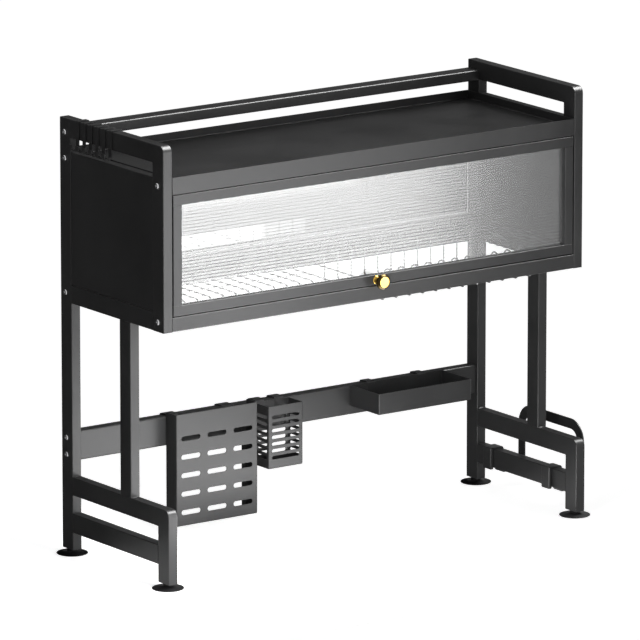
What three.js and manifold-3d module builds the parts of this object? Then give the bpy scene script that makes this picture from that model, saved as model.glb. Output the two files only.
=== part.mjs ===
// Over-sink dish rack: two welded side frames of steel tube carry a cabinet with a flap door,
// wire racks inside it, and a crossbar below with hanging baskets.
// Millimetres, +Z up. X runs along the rack from the left side frame's outer face,
// Y runs from the cabinet's front plane to the back, and Z starts at the floor.
import * as THREE from 'three';
import { mergeVertices } from 'three/addons/utils/BufferGeometryUtils.js';
import Module from 'manifold-3d';

const wasm = await Module();
wasm.setup();

// Whole rack
const rackWidth = 850;
const cabinetDepth = 300;
const frameHeight = 737.5;
const cabinetFloor = 428;
const legOverhang = 11.5;        // how far the short front legs stand before the cabinet

// Steel tube of the side frames
const tubeWidth = 18;
const tubeDepth = 31;
const tubeWall = 1.2;
const elbowRadius = 12;
const elbowSteps = 5;
const footPlug = 14;             // solid end of a leg that takes the foot's stem

// Clearances
const seatGap = 0.3;
const sideGap = 1.8;             // each side of the door
const doorGap = 1.6;             // above and below the door
const cutOverrun = 2;

// Folded sheet
const sheet = 1.2;

// Heights on the side frames
const footHeight = 9;
const legRailTop = 133.5;
const lowRailBottom = 38.5;
const lowRailHeight = 33;
const columnFront = 97;
const panelDrop = 55;            // from the frame's top down to the side panels
const panelInset = 1;

// Tray on top, measured down from the frame's top
const trayLipDrop = 53.5;
const trayFloorDrop = 67.3;
const traySkirtDrop = 82;
const trayScrewDrop = 67;

// Rails between the side frames
const guardHeight = 18;
const guardDrop = 32.5;          // from the frame's top down to the guard rail's underside
const rearRailDepth = 30;
const rearRailHeight = 45;
const rackLevel = 24;            // height of both rack seats above the cabinet's floor level
const ledgeReach = 11;
const frontRailDepth = 20;
const stopLipHeight = 4.5;
const endPlate = 3;
const crossbarDepth = 20;
const crossbarHeight = 50;
const crossbarBottom = 159;

// Screws through the side frames
const screwRadius = 2.5;
const screwHoleRadius = 2.8;
const screwHoleSides = 8;
const screwHeadRadius = 5;
const screwHeadHeight = 3.2;
const screwSides = 10;
const screwReach = 2.4;          // how far a screw enters the rail it holds
const domeRadiusShares = [1, 1, 0.62];
const domeHeightShares = [0, 0.33, 0.87];
const crossbarScrewSpacing = 28.6;
const railScrewHeight = 16.5;    // above the cabinet's floor level

// Door
const doorThickness = 14;
const doorMember = 17;
const grooveDepth = 5.5;
const grooveWidth = 4.6;
const glazingThickness = 4;
const glazingTuck = 4.5;
const fluteDepth = 0.4;
const flutePitch = 5.5;
const fluteSteps = 4;
const pivotDrop = 6.5;           // from the door's top edge to the hinge axis
const pinRadius = 2.5;
const pinBore = 2.8;
const pinSides = 12;
const pinReach = 15;
const pinCollarRadius = 4.5;
const pinTail = 8;

// Knob
const knobRadius = 13.5;
const knobReach = 23.5;
const knobNeckRadius = 5;
const knobCollarRadius = 7.5;
const knobSides = 24;
const knobHeightShares = [0, 0.1, 0.24, 0.5, 0.66, 0.74, 0.84, 0.94, 1];
const knobRimShare = 0.9;
const knobFaceShare = 0.68;
const knobScrewRadius = 2;
const knobScrewDepth = 11;
const knobScrewHeadRadius = 3.6;
const knobScrewHeadHeight = 2.2;

// Feet
const footRadius = 26.5;
const footRim = 1.4;
const footConeTop = 4.5;
const footBossRadius = 8.5;
const stemRadius = 4;
const stemHole = 4.3;
const stemLength = 26;
const footSides = 20;

// Wire racks
const wireRadius = 1.5;
const wireSides = 6;
const weldDepth = 0.6;           // how far two crossing wires sink into each other
const bendSteps = 2;
const humpSteps = 4;
const rackEndClearance = 1;      // from a rack wire's end to the rail behind it
const rodOverhang = 3;

// Plate rack: bent dividers between a left and a right end wire
const plateMargin = 20;          // from the right side frame to its right end wire
const plateSpacing = 30.7;       // from the bowl rack to its left end wire
const dividerMargin = 59.4;      // from its left end wire to the first divider
const dividerRoom = 15;          // least room after the last divider
const dividerPitch = 27.5;
const dividerDrop = 47;          // from the seat wires down to the base
const dividerRearGap = 28.3;     // from the end wires' rear ends to the uprights
const dividerFrontGap = 53.8;    // from the end wires' front ends to the front legs
const dividerRise = 2.5;         // upright's end above the seat wires
const dividerBend = 5;
const humpRadius = 11;
const humpRise = 7.3;            // hump's middle line above the seat wires
const tipDrop = 4.5;
const baseRodInset = 30;

// Bowl rack: curled wires across two long rods
const bowlMargin = 23.5;         // from the left side frame to its left end wire
const bowlWidth = 359.8;
const bowlPitch = 25.7;
const bowlDrop = 7.8;            // from the seat wires down to the curled wires
const bowlRearGap = 41;          // from the end wires' rear ends to the curled wires
const bowlReach = 116;           // straight length of a curled wire
const bowlCurl = 4.7;
const bowlCurlEnd = 240;
const bowlRodInset = 2;
const bowlRodSpacing = 55.5;
const bowlRamp = 12;

// Strap hooks of the hanging baskets
const hookSheet = 1.6;
const hookDrop = 22;
const hookShoulder = 0.8;
const hookArch = 2;
const hookInset = 4.5;

// Slotted board rack
const boardMargin = 172.5;       // from the left side frame
const boardWidth = 165;
const boardDepth = 31.2;
const boardHeight = 191.5;
const boardAboveBar = 7.5;
const boardReturn = 11;
const boardRim = 22;
const boardSlotHeight = 8.4;
const boardSlotEdge = 10.4;      // from the rack's side to the first slot
const boardSlotGap = 14.2;
const boardSlotColumns = 3;
const boardSlotRows = 5;
const boardLowSlot = 23.1;       // lowest slot's middle above the rack's bottom
const boardHighSlot = 41.8;      // highest slot's middle below the rack's top
const slotSteps = 3;
const boardHookWidth = 22;
const boardHookLeft = 3;
const boardHookRight = 29;

// Utensil cup
const cupSpacing = 15.5;         // from the board rack
const cupWidth = 70.5;
const cupDepth = 41.2;
const cupHeight = 107.4;
const cupBelowBar = 1.6;
const cupSlotHeight = 6.2;
const cupSlotRows = 7;
const cupLowSlot = 19.1;         // lowest slot's middle above the cup's bottom
const cupHighSlot = 18.7;        // highest slot's middle below the cup's top
const cupCorner = 7.2;
const cupSideCorner = 5;
const cupHookWidth = 18.5;
const cupHookLeft = 1;
const cupHookRight = 12;

// Long tray
const longMargin = 71.6;         // from the right side frame
const longWidth = 193;
const longDepth = 84.7;
const longHeight = 36.4;
const longAboveBar = 1.6;
const longHookWidth = 15;
const longHookInset = 36.4;

// Board holder on the right side's low rail
const holderSheet = 2.5;
const holderPad = 6.7;           // thickness of the pads against the rail's inner face
const holderPadDrop = 35.5;
const holderStrapWidth = 22;
const holderFront = 55.5;
const holderRearGap = 26;        // from its rear strap to the rear post
const holderReach = 51.2;        // from the rail's outer face to the loop's outer face
const holderLegDrop = 43.5;
const holderLoopTop = 69.9;      // above the low rail
const holderLoopInset = 2;
const holderRing = 18;
const holderBend = 36;
const holderSteps = 6;

// Small hooks over the left side's top rail
const pegSheet = 1.5;
const pegWidth = 9;
const pegPitch = 19;
const pegCount = 6;
const pegRearGap = 24;           // from the rear post to the middle of the last hook
const pegInnerLeg = 15;
const pegOuterDrop = 39.5;       // from the rail's top to the middle of the curl
const pegCurl = 7.3;
const pegTip = 4;
const pegSteps = 6;

const blackCoat = coat(0x2b2b2b, 0.42, 0.35);
const darkGloss = coat(0x202020, 0.22, 0.3);
const brass = coat(0xd9a441, 0.22, 0.95);
const brightSteel = coat(0xcfcfcf, 0.18, 1);
const blackPlastic = coat(0x141414, 0.6, 0);
const flutedGlazing = coat(0xe4e6e6, 0.25, 0);
flutedGlazing.transparent = true;
flutedGlazing.opacity = 0.55;

function coat(color, roughness, metalness) {
  return new THREE.MeshStandardMaterial({ color, roughness, metalness });
}

function solid(geometry) {
  const bare = geometry.clone();
  bare.deleteAttribute('normal');
  bare.deleteAttribute('uv');
  const merged = mergeVertices(bare);
  return new wasm.Manifold(new wasm.Mesh({
    numProp: 3,
    vertProperties: merged.attributes.position.array,
    triVerts: Uint32Array.from(merged.index.array),
  }));
}

function surface(body) {
  const mesh = body.getMesh();
  const geometry = new THREE.BufferGeometry();
  geometry.setAttribute('position', new THREE.BufferAttribute(mesh.vertProperties, mesh.numProp));
  geometry.setIndex(new THREE.BufferAttribute(mesh.triVerts, 1));
  geometry.computeVertexNormals();
  return geometry;
}

function joined(solids) {
  return solids.reduce((whole, piece) => whole.add(piece));
}

function cutFrom(body, solids) {
  return solids.reduce((left, piece) => left.subtract(piece), body);
}

// A box between two corners.
function block(x0, y0, z0, x1, y1, z1) {
  const geometry = new THREE.BoxGeometry(x1 - x0, y1 - y0, z1 - z0);
  return geometry.translate((x0 + x1) / 2, (y0 + y1) / 2, (z0 + z1) / 2);
}

function solidBlock(x0, y0, z0, x1, y1, z1) {
  return solid(block(x0, y0, z0, x1, y1, z1));
}

// A round bar along X, Y or Z that starts at a point.
function bar(axis, radius, length, sides, x, y, z) {
  const geometry = new THREE.CylinderGeometry(radius, radius, length, sides);
  geometry.translate(0, length / 2, 0);
  if (axis === 'x') geometry.rotateZ(-Math.PI / 2);
  if (axis === 'z') geometry.rotateX(Math.PI / 2);
  return solid(geometry.translate(x, y, z));
}

function shapeOf(points) {
  return new THREE.Shape(points.map(([x, y]) => new THREE.Vector2(x, y)));
}

// Points of an arc in a plane, from one angle to another in degrees.
function arc(centreX, centreY, radius, from, to, steps) {
  const points = [];
  for (let i = 0; i <= steps; i += 1) {
    const angle = THREE.MathUtils.degToRad(from + (to - from) * i / steps);
    points.push([centreX + radius * Math.cos(angle), centreY + radius * Math.sin(angle)]);
  }
  return points;
}

// Extrudes an outline given as (y, z) points along X, from x = 0.
function alongX(shape, length) {
  const geometry = new THREE.ExtrudeGeometry(shape, { depth: length, bevelEnabled: false });
  return geometry.applyMatrix4(new THREE.Matrix4().makeBasis(
    new THREE.Vector3(0, 1, 0), new THREE.Vector3(0, 0, 1), new THREE.Vector3(1, 0, 0)));
}

// Extrudes an outline given as (x, z) points along Y, from y = 0.
function alongY(shape, length) {
  const geometry = new THREE.ExtrudeGeometry(shape, { depth: length, bevelEnabled: false });
  return geometry.rotateX(Math.PI / 2).translate(0, length, 0);
}

// The outline of a strip of even thickness whose middle line follows the points.
function stripShape(points, thickness) {
  const left = [];
  const right = [];
  const last = points.length - 1;
  points.forEach(([x, y], i) => {
    const before = points[Math.max(i - 1, 0)];
    const after = points[Math.min(i + 1, last)];
    const into = new THREE.Vector2(x - before[0], y - before[1]).normalize();
    const out = new THREE.Vector2(after[0] - x, after[1] - y).normalize();
    const along = into.clone().add(out).normalize();
    const reach = thickness / 2 / along.dot(i === 0 ? out : into);
    left.push([x - along.y * reach, y + along.x * reach]);
    right.push([x + along.y * reach, y - along.x * reach]);
  });
  return shapeOf([...right, ...left.reverse()]);
}

// A wire's path, with one ring of the wire's surface at each listed point.
class WirePath extends THREE.Curve {
  constructor(points) {
    super();
    this.points = points;
  }

  getPoint(t, target = new THREE.Vector3()) {
    const last = this.points.length - 1;
    return target.copy(this.points[Math.round(t * last)]);
  }

  getPointAt(u, target) {
    return this.getPoint(u, target);
  }

  getTangentAt(u, target = new THREE.Vector3()) {
    const last = this.points.length - 1;
    const i = Math.round(u * last);
    const here = this.points[i];
    const into = here.clone().sub(this.points[Math.max(i - 1, 0)]).normalize();
    const out = this.points[Math.min(i + 1, last)].clone().sub(here).normalize();
    return target.copy(into.add(out).normalize());
  }
}

function wire(points) {
  const section = shapeOf(arc(0, 0, wireRadius, 0, 360, wireSides).slice(0, wireSides));
  const path = new WirePath(points);
  return solid(new THREE.ExtrudeGeometry(section, { steps: points.length - 1, extrudePath: path }));
}

// A wire bent in a plane of constant x, through (y, z) points.
function flatWire(x, points) {
  return wire(points.map(([y, z]) => new THREE.Vector3(x, y, z)));
}

function rod(x0, x1, y, z) {
  return wire([new THREE.Vector3(x0, y, z), new THREE.Vector3(x1, y, z)]);
}

function node(name, geometry, material, x = 0, y = 0, z = 0) {
  const mesh = new THREE.Mesh(geometry, material);
  mesh.name = name;
  mesh.position.set(x, y, z);
  return mesh;
}

// A turned part whose axis is its own Z, from (radius, height) points.
function turned(points, sides) {
  const profile = points.map(([radius, height]) => new THREE.Vector2(radius, height));
  return new THREE.LatheGeometry(profile, sides).rotateX(Math.PI / 2);
}

// Places worked out from the sizes above
const postY = cabinetDepth - tubeDepth;
const postCentreY = cabinetDepth - tubeDepth / 2;
const frontCentreY = tubeDepth / 2;
const legCentreY = tubeDepth / 2 - legOverhang;
const innerLeft = tubeWidth;
const innerRight = rackWidth - tubeWidth;
const innerWidth = innerRight - innerLeft;
const panelTop = frameHeight - panelDrop;
const trayLipTop = frameHeight - trayLipDrop;
const trayFloorTop = frameHeight - trayFloorDrop;
const traySkirtBottom = frameHeight - traySkirtDrop;
const trayScrewHeight = frameHeight - trayScrewDrop;
const guardBottom = frameHeight - guardDrop;
const doorBottom = cabinetFloor + rackLevel + doorGap;
const doorTop = traySkirtBottom - doorGap;
const doorWidth = innerWidth - 2 * sideGap;
const doorHeight = doorTop - doorBottom;
const pivotY = doorThickness / 2;
const pivotZ = doorTop - pivotDrop;
const crossbarY = postCentreY - crossbarDepth / 2;
const crossbarTop = crossbarBottom + crossbarHeight;
const crossbarMiddle = crossbarBottom + crossbarHeight / 2;
const guardMiddle = guardBottom + guardHeight / 2;
const basketRear = crossbarY - seatGap;
const rearRailY = cabinetDepth - rearRailDepth;
const stopLipY = doorThickness + seatGap;
const lowRailTop = lowRailBottom + lowRailHeight;
const seatWire = cabinetFloor + rackLevel + seatGap + wireRadius;
const wireFront = stopLipY + sheet + rackEndClearance / 2;
const wireRear = rearRailY - rackEndClearance;
const crossing = 2 * wireRadius - weldDepth;
const bowlLeft = innerLeft + bowlMargin;
const bowlRear = wireRear - bowlRearGap;
const bowlFront = bowlRear - bowlReach;
const bowlCount = Math.round(bowlWidth / bowlPitch) - 1;
const plateLeft = bowlLeft + bowlWidth + plateSpacing;
const plateWidth = innerRight - plateMargin - plateLeft;
const dividerRear = wireRear - dividerRearGap;
const dividerFront = wireFront + dividerFrontGap;
const dividerCount = Math.floor((plateWidth - dividerMargin - dividerRoom) / dividerPitch) + 1;
const boardLeft = innerLeft + boardMargin;
const boardBottom = crossbarTop + boardAboveBar - boardHeight;
const cupLeft = boardLeft + boardWidth + cupSpacing;
const cupBottom = crossbarTop - cupBelowBar - cupHeight;
const longLeft = innerRight - longMargin - longWidth;
const longBottom = crossbarTop + longAboveBar - longHeight;
const holderSpan = postY - holderRearGap - holderFront;
const pegFirst = postY - pegRearGap - pegPitch * (pegCount - 1);
const rearScrews = [
  [postCentreY, guardMiddle],
  [postCentreY, trayScrewHeight],
  [postCentreY, cabinetFloor + railScrewHeight],
  [postCentreY, crossbarMiddle + crossbarScrewSpacing / 2],
  [postCentreY, crossbarMiddle - crossbarScrewSpacing / 2],
];
const frontScrews = [
  [frontCentreY, trayScrewHeight],
  [frontCentreY, cabinetFloor + railScrewHeight],
];

// Clearance holes for the frame screws through a side tube whose corner is at y, z.
function screwHoles(screws, cornerY, cornerZ) {
  return screws.map(([y, z]) => bar('x', screwHoleRadius, tubeWidth + 2 * cutOverrun, screwHoleSides,
    -cutOverrun, y - cornerY, z - cornerZ));
}

function stemBore() {
  return bar('z', stemHole, footPlug + 2 * cutOverrun, footSides,
    tubeWidth / 2, tubeDepth / 2, -cutOverrun);
}

// A tube along Y or Z with both ends open.
function openTube(lengthY, lengthZ, axis) {
  const [endY, endZ] = axis === 'y' ? [-cutOverrun, tubeWall] : [tubeWall, -cutOverrun];
  const bore = solidBlock(tubeWall, endY, endZ, tubeWidth - tubeWall, lengthY - endY, lengthZ - endZ);
  return surface(solidBlock(0, 0, 0, tubeWidth, lengthY, lengthZ).subtract(bore));
}

function rearPost() {
  const height = frameHeight - footHeight;
  const bore = solidBlock(tubeWall, tubeWall, footPlug,
    tubeWidth - tubeWall, tubeDepth - tubeWall, height - tubeWall);
  const tube = solidBlock(0, 0, 0, tubeWidth, tubeDepth, height);
  return surface(cutFrom(tube, [bore, stemBore(), ...screwHoles(rearScrews, postY, footHeight)]));
}

// The outline of an upright that turns into a rail at a rounded corner, set in by a wall.
function hoopOutline(height, length, inset, bottom, overrun) {
  return shapeOf([
    [inset, bottom],
    [tubeDepth - inset, bottom],
    [tubeDepth - inset, height - tubeDepth + inset],
    [length + overrun, height - tubeDepth + inset],
    [length + overrun, height - inset],
    ...arc(elbowRadius, height - elbowRadius, elbowRadius - inset, 90, 180, elbowSteps),
  ]);
}

// An upright and a rail bent from one tube, open at the rail's rear end.
function hoop(height, length, bottomWall) {
  const outside = solid(alongX(hoopOutline(height, length, 0, 0, 0), tubeWidth));
  const bore = alongX(hoopOutline(height, length, tubeWall, bottomWall, cutOverrun),
    tubeWidth - 2 * tubeWall);
  return outside.subtract(solid(bore.translate(tubeWall, 0, 0)));
}

// The cabinet's front post and top rail, with the hinge pin's hole in its inner wall.
function topHoop(inward) {
  const wallX = inward > 0 ? tubeWidth - tubeWall : 0;
  const pinHole = bar('x', pinBore, tubeWall + 2 * cutOverrun, pinSides,
    wallX - cutOverrun, pivotY, pivotZ - cabinetFloor);
  const tube = hoop(frameHeight - cabinetFloor, postY, tubeWall);
  return surface(cutFrom(tube, [pinHole, ...screwHoles(frontScrews, 0, cabinetFloor)]));
}

// The short front leg and the rail behind it.
function footHoop() {
  return surface(hoop(legRailTop - footHeight, postY + legOverhang, footPlug).subtract(stemBore()));
}

// A pressed sheet panel with its edges folded inwards.
function sidePanel(inward) {
  const depth = tubeWidth - 2 * panelInset;
  const width = postY - tubeDepth - 2 * seatGap;
  const height = panelTop - cabinetFloor - tubeDepth - seatGap;
  const [openFrom, openTo] = inward > 0 ? [sheet, depth + cutOverrun] : [-cutOverrun, depth - sheet];
  const pocket = solidBlock(openFrom, sheet, sheet, openTo, width - sheet, height - sheet);
  return surface(solidBlock(0, 0, 0, depth, width, height).subtract(pocket));
}

// A domed screw whose head stands on z = 0, with its shank along -Z.
function frameScrew() {
  const reach = tubeWidth + seatGap + screwReach;
  const dome = domeRadiusShares.map((share, i) => [
    screwHeadRadius * share, screwHeadHeight * domeHeightShares[i]]);
  return turned([[0, -reach], [screwRadius, -reach], [screwRadius, 0], ...dome, [0, screwHeadHeight]],
    screwSides);
}

function sideFrame(side, x, inward) {
  const frame = new THREE.Group();
  frame.position.x = x;
  const black = (name, geometry, dx, dy, dz) => node(`${side}_${name}`, geometry, blackCoat, dx, dy, dz);
  const railLength = postY - tubeDepth;
  frame.add(
    black('rear_post', rearPost(), 0, postY, footHeight),
    black('top_hoop', topHoop(inward), 0, 0, cabinetFloor),
    black('cabinet_rail', openTube(railLength, tubeDepth, 'y'), 0, tubeDepth, cabinetFloor),
    black('mid_column', openTube(tubeDepth, cabinetFloor - legRailTop, 'z'), 0, columnFront, legRailTop),
    black('foot_hoop', footHoop(), 0, -legOverhang, footHeight),
    black('foot_rail', openTube(railLength + legOverhang, lowRailHeight, 'y'),
      0, tubeDepth - legOverhang, lowRailBottom),
    black('side_panel', sidePanel(inward),
      panelInset, tubeDepth + seatGap, cabinetFloor + tubeDepth + seatGap),
  );
  [...rearScrews, ...frontScrews].forEach(([y, z], i) => {
    const screw = node(`${side}_screw_${i + 1}`, frameScrew(), brightSteel,
      inward > 0 ? -seatGap : tubeWidth + seatGap, y, z);
    screw.rotation.y = -inward * Math.PI / 2;
    frame.add(screw);
  });
  return frame;
}

// The tray on top: a floor between upstanding lips and downturned skirts.
function topTray() {
  const width = innerWidth - 2 * seatGap;
  const height = trayLipTop - traySkirtBottom;
  const floorTop = trayFloorTop - traySkirtBottom;
  const pocket = (low, high) => solidBlock(sheet, sheet, low, width - sheet, cabinetDepth - sheet, high);
  const sideLips = solidBlock(-cutOverrun, sheet, panelTop - traySkirtBottom,
    width + cutOverrun, cabinetDepth - sheet, height + cutOverrun);
  const holes = [frontCentreY, postCentreY].map((y) => bar('x', screwHoleRadius,
    width + 2 * cutOverrun, screwHoleSides, -cutOverrun, y, trayScrewHeight - traySkirtBottom));
  const middle = solidBlock(screwReach + seatGap, 0, 0, width - screwReach - seatGap,
    cabinetDepth, height);
  return surface(cutFrom(solidBlock(0, 0, 0, width, cabinetDepth, height), [
    pocket(floorTop, height + cutOverrun),
    pocket(-cutOverrun, floorTop - sheet),
    sideLips,
    ...holes.map((hole) => hole.subtract(middle)),
  ]));
}

// A hollow box rail along X with end plates, drilled for the frame screws at (y, z) places.
function boxRail(depth, height, places) {
  const bore = solidBlock(endPlate, tubeWall, tubeWall,
    innerWidth - endPlate, depth - tubeWall, height - tubeWall);
  const holes = places.map(([y, z]) => bar('x', screwHoleRadius, innerWidth + 2 * cutOverrun,
    screwHoleSides, -cutOverrun, y, z));
  return cutFrom(solidBlock(0, 0, 0, innerWidth, depth, height), [bore, ...holes]);
}

function rearGuardRail() {
  return surface(boxRail(tubeDepth, guardHeight, [[tubeDepth / 2, guardHeight / 2]]));
}

// The ledge in front of the rear rail carries the wire racks' rear ends.
function rearBottomRail() {
  const ledge = solidBlock(0, -ledgeReach, rackLevel - sheet, innerWidth, tubeWall / 2, rackLevel);
  return surface(boxRail(rearRailDepth, rearRailHeight,
    [[postCentreY - rearRailY, railScrewHeight]]).add(ledge));
}

// The lip on the front rail stops the closed door.
function frontBottomRail() {
  const lip = solidBlock(0, stopLipY, rackLevel - tubeWall / 2,
    innerWidth, stopLipY + sheet, rackLevel + stopLipHeight);
  return surface(boxRail(frontRailDepth, rackLevel, [[frontCentreY, railScrewHeight]]).add(lip));
}

function crossbar() {
  const middle = crossbarHeight / 2;
  return surface(boxRail(crossbarDepth, crossbarHeight, [
    [crossbarDepth / 2, middle + crossbarScrewSpacing / 2],
    [crossbarDepth / 2, middle - crossbarScrewSpacing / 2],
  ]));
}

function backPanel() {
  const bottom = cabinetFloor + rearRailHeight + seatGap;
  const height = traySkirtBottom - seatGap - bottom;
  return node('back_panel', block(0, 0, 0, innerWidth - 2 * seatGap, sheet, height), darkGloss,
    innerLeft + seatGap, cabinetDepth - sheet, bottom);
}

// A door member's section as (y, distance) points, with the glazing's groove in its near edge.
function memberOutline() {
  const near = (doorThickness - grooveWidth) / 2;
  return [
    [0, 0], [near, 0], [near, grooveDepth], [near + grooveWidth, grooveDepth], [near + grooveWidth, 0],
    [doorThickness, 0], [doorThickness, doorMember], [0, doorMember],
  ];
}

function topMember() {
  const body = solid(alongX(shapeOf(memberOutline()), doorWidth));
  const bores = [-cutOverrun, doorWidth - pinReach].map((x) => bar('x', pinBore,
    pinReach + cutOverrun, pinSides, x, pivotY, doorMember - pivotDrop));
  return surface(cutFrom(body, bores));
}

function bottomMember() {
  const outline = memberOutline().map(([y, z]) => [y, doorMember - z]).reverse();
  const body = solid(alongX(shapeOf(outline), doorWidth));
  const hole = bar('y', knobScrewRadius + seatGap, doorThickness + 2 * cutOverrun, pinSides,
    doorWidth / 2, -cutOverrun, doorMember / 2);
  return surface(body.subtract(hole));
}

function stile(grooveOnRight) {
  const outline = memberOutline().map(([y, x]) => [grooveOnRight ? doorMember - x : x, y]);
  return new THREE.ExtrudeGeometry(shapeOf(outline), {
    depth: doorHeight - 2 * doorMember, bevelEnabled: false,
  });
}

// Clear glazing with level half-round flutes along its front.
function flutedSheet() {
  const width = doorWidth - 2 * (doorMember - glazingTuck);
  const height = doorHeight - 2 * (doorMember - glazingTuck);
  const flutes = Math.floor((height - 2 * glazingTuck) / flutePitch);
  const margin = (height - flutes * flutePitch) / 2;
  const points = [[fluteDepth, 0], [glazingThickness, 0], [glazingThickness, height], [fluteDepth, height]];
  for (let step = 0; step < flutes * fluteSteps; step += 1) {
    const swell = Math.sin(Math.PI * (step % fluteSteps) / fluteSteps);
    points.push([fluteDepth - fluteDepth * swell, height - margin - flutePitch * step / fluteSteps]);
  }
  points.push([fluteDepth, margin]);
  return alongX(shapeOf(points), width);
}

// The knob stands on z = 0 and is bored for its screw.
function knob() {
  const bore = knobScrewRadius + seatGap;
  const radii = [knobCollarRadius, knobCollarRadius, knobNeckRadius, knobNeckRadius,
    knobRadius * knobRimShare, knobRadius, knobRadius, knobRadius * knobRimShare,
    knobRadius * knobFaceShare];
  const outside = radii.map((radius, i) => [radius, knobReach * knobHeightShares[i]]);
  const boreTop = knobScrewDepth + seatGap;
  return turned([[0, boreTop], [bore, boreTop], [bore, 0], ...outside, [0, knobReach]], knobSides);
}

// The knob's screw, with its head on z = 0 and its shank along -Z.
function knobScrew() {
  const reach = knobScrewDepth + doorThickness + seatGap;
  return turned([
    [0, -reach], [knobScrewRadius, -reach], [knobScrewRadius, 0], [knobScrewHeadRadius, 0],
    [knobScrewHeadRadius * knobRimShare, knobScrewHeadHeight], [0, knobScrewHeadHeight],
  ], pinSides);
}

// A hinge pin from inside the front post into the door, with a collar in the side gap.
function hingePin() {
  const end = sideGap + pinReach - 2 * seatGap;
  return turned([
    [0, -pinTail], [pinRadius, -pinTail], [pinRadius, seatGap / 2], [pinCollarRadius, seatGap / 2],
    [pinCollarRadius, sideGap - seatGap], [pinRadius, sideGap - seatGap], [pinRadius, end], [0, end],
  ], pinSides);
}

function hingePins() {
  const left = node('left_hinge_pin', hingePin(), brightSteel, innerLeft, pivotY, pivotZ);
  const right = node('right_hinge_pin', hingePin(), brightSteel, innerRight, pivotY, pivotZ);
  left.rotation.y = Math.PI / 2;
  right.rotation.y = -Math.PI / 2;
  return [left, right];
}

function door() {
  const flap = new THREE.Group();
  flap.position.set(innerLeft + sideGap, 0, doorBottom);
  const tuck = doorMember - glazingTuck;
  const knobNode = node('knob', knob(), brass, doorWidth / 2, -seatGap, doorMember / 2);
  const screwNode = node('knob_screw', knobScrew(), brightSteel,
    doorWidth / 2, doorThickness + seatGap, doorMember / 2);
  knobNode.rotation.x = Math.PI / 2;
  screwNode.rotation.x = -Math.PI / 2;
  flap.add(
    node('door_top_member', topMember(), blackCoat, 0, 0, doorHeight - doorMember),
    node('door_bottom_member', bottomMember(), blackCoat),
    node('door_left_stile', stile(true), blackCoat, 0, 0, doorMember),
    node('door_right_stile', stile(false), blackCoat, doorWidth - doorMember, 0, doorMember),
    node('door_panel', flutedSheet(), flutedGlazing, tuck, (doorThickness - glazingThickness) / 2, tuck),
    knobNode,
    screwNode,
  );
  return flap;
}

// A divider: front tip, hump, front leg, base and rear upright. Heights count from the seat wires.
function divider(x) {
  const humpY = dividerFront - humpRadius;
  const base = -dividerDrop;
  return flatWire(x, [
    [humpY - humpRadius, -tipDrop],
    ...arc(humpY, humpRise - humpRadius, humpRadius, 180, 0, humpSteps),
    ...arc(dividerFront + dividerBend, base + dividerBend, dividerBend, 180, 270, bendSteps),
    ...arc(dividerRear - dividerBend, base + dividerBend, dividerBend, 270, 360, bendSteps),
    [dividerRear, dividerRise],
  ]);
}

function plateRack() {
  const wires = [];
  for (let i = 0; i < dividerCount; i += 1) {
    wires.push(divider(dividerMargin + i * dividerPitch));
  }
  [0, plateWidth].forEach((x) => wires.push(flatWire(x, [[wireFront, 0], [wireRear, 0]])));
  const tipY = dividerFront - 2 * humpRadius;
  [tipY - crossing, dividerRear + crossing].forEach((y) => wires.push(
    rod(-rodOverhang, plateWidth + rodOverhang, y, -crossing)));
  const lastX = dividerMargin + (dividerCount - 1) * dividerPitch;
  [dividerFront + baseRodInset, dividerRear - baseRodInset].forEach((y) => wires.push(
    rod(dividerMargin - rodOverhang, lastX + rodOverhang, y, crossing - dividerDrop)));
  return surface(joined(wires));
}

// An end wire of the bowl rack: seated at both ends, with a lower middle.
function bowlEndWire(x) {
  const front = wireFront + bowlRamp;
  const rear = wireRear - bowlRamp;
  return flatWire(x, [
    [wireFront, 0], [front, 0], [front + bowlRamp, -bowlDrop],
    [rear - bowlRamp, -bowlDrop], [rear, 0], [wireRear, 0],
  ]);
}

function bowlRack() {
  const wires = [bowlEndWire(0), bowlEndWire(bowlWidth)];
  for (let i = 1; i <= bowlCount; i += 1) {
    wires.push(flatWire(i * bowlPitch, [
      [bowlRear, -bowlDrop],
      ...arc(bowlFront + bowlCurl, -bowlDrop - bowlCurl, bowlCurl, 90, bowlCurlEnd, humpSteps),
    ]));
  }
  const rearRod = bowlRear - bowlRodInset;
  [rearRod, rearRod - bowlRodSpacing].forEach((y) => wires.push(
    rod(-rodOverhang, bowlWidth + rodOverhang, y, -bowlDrop - crossing)));
  return surface(joined(wires));
}

// A strap that rises from a basket's rear wall, arches over the crossbar and drops behind it.
function crossbarHook(width, x, basketBottom) {
  const half = hookSheet / 2;
  const barTop = crossbarTop - basketBottom;
  const rearY = crossbarDepth + 2 * seatGap + half;
  const archZ = barTop + hookArch;
  const strap = alongX(stripShape([
    [-half, barTop - hookDrop],
    [-half, barTop + hookShoulder],
    [hookInset, archZ],
    [rearY - half - hookInset, archZ],
    [rearY, barTop + hookShoulder],
    [rearY, barTop - hookDrop],
  ], hookSheet), width);
  return solid(strap.translate(x, 0, 0));
}

// A sheet basket, open on top, whose rear face is at y = 0.
function basketShell(width, depth, height) {
  const pocket = solidBlock(sheet, sheet - depth, sheet, width - sheet, -hookSheet, height + cutOverrun);
  return solidBlock(0, -depth, 0, width, 0, height).subtract(pocket);
}

// A level slot with round ends through a front wall.
function frontSlot(x, z, width, wallY) {
  const end = boardSlotHeight / 2;
  const straight = width / 2 - end;
  const outline = shapeOf([
    ...arc(x + straight, z, end, -90, 90, slotSteps),
    ...arc(x - straight, z, end, 90, 270, slotSteps),
  ]);
  return solid(alongY(outline, sheet + 2 * cutOverrun).translate(0, wallY - cutOverrun, 0));
}

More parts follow.
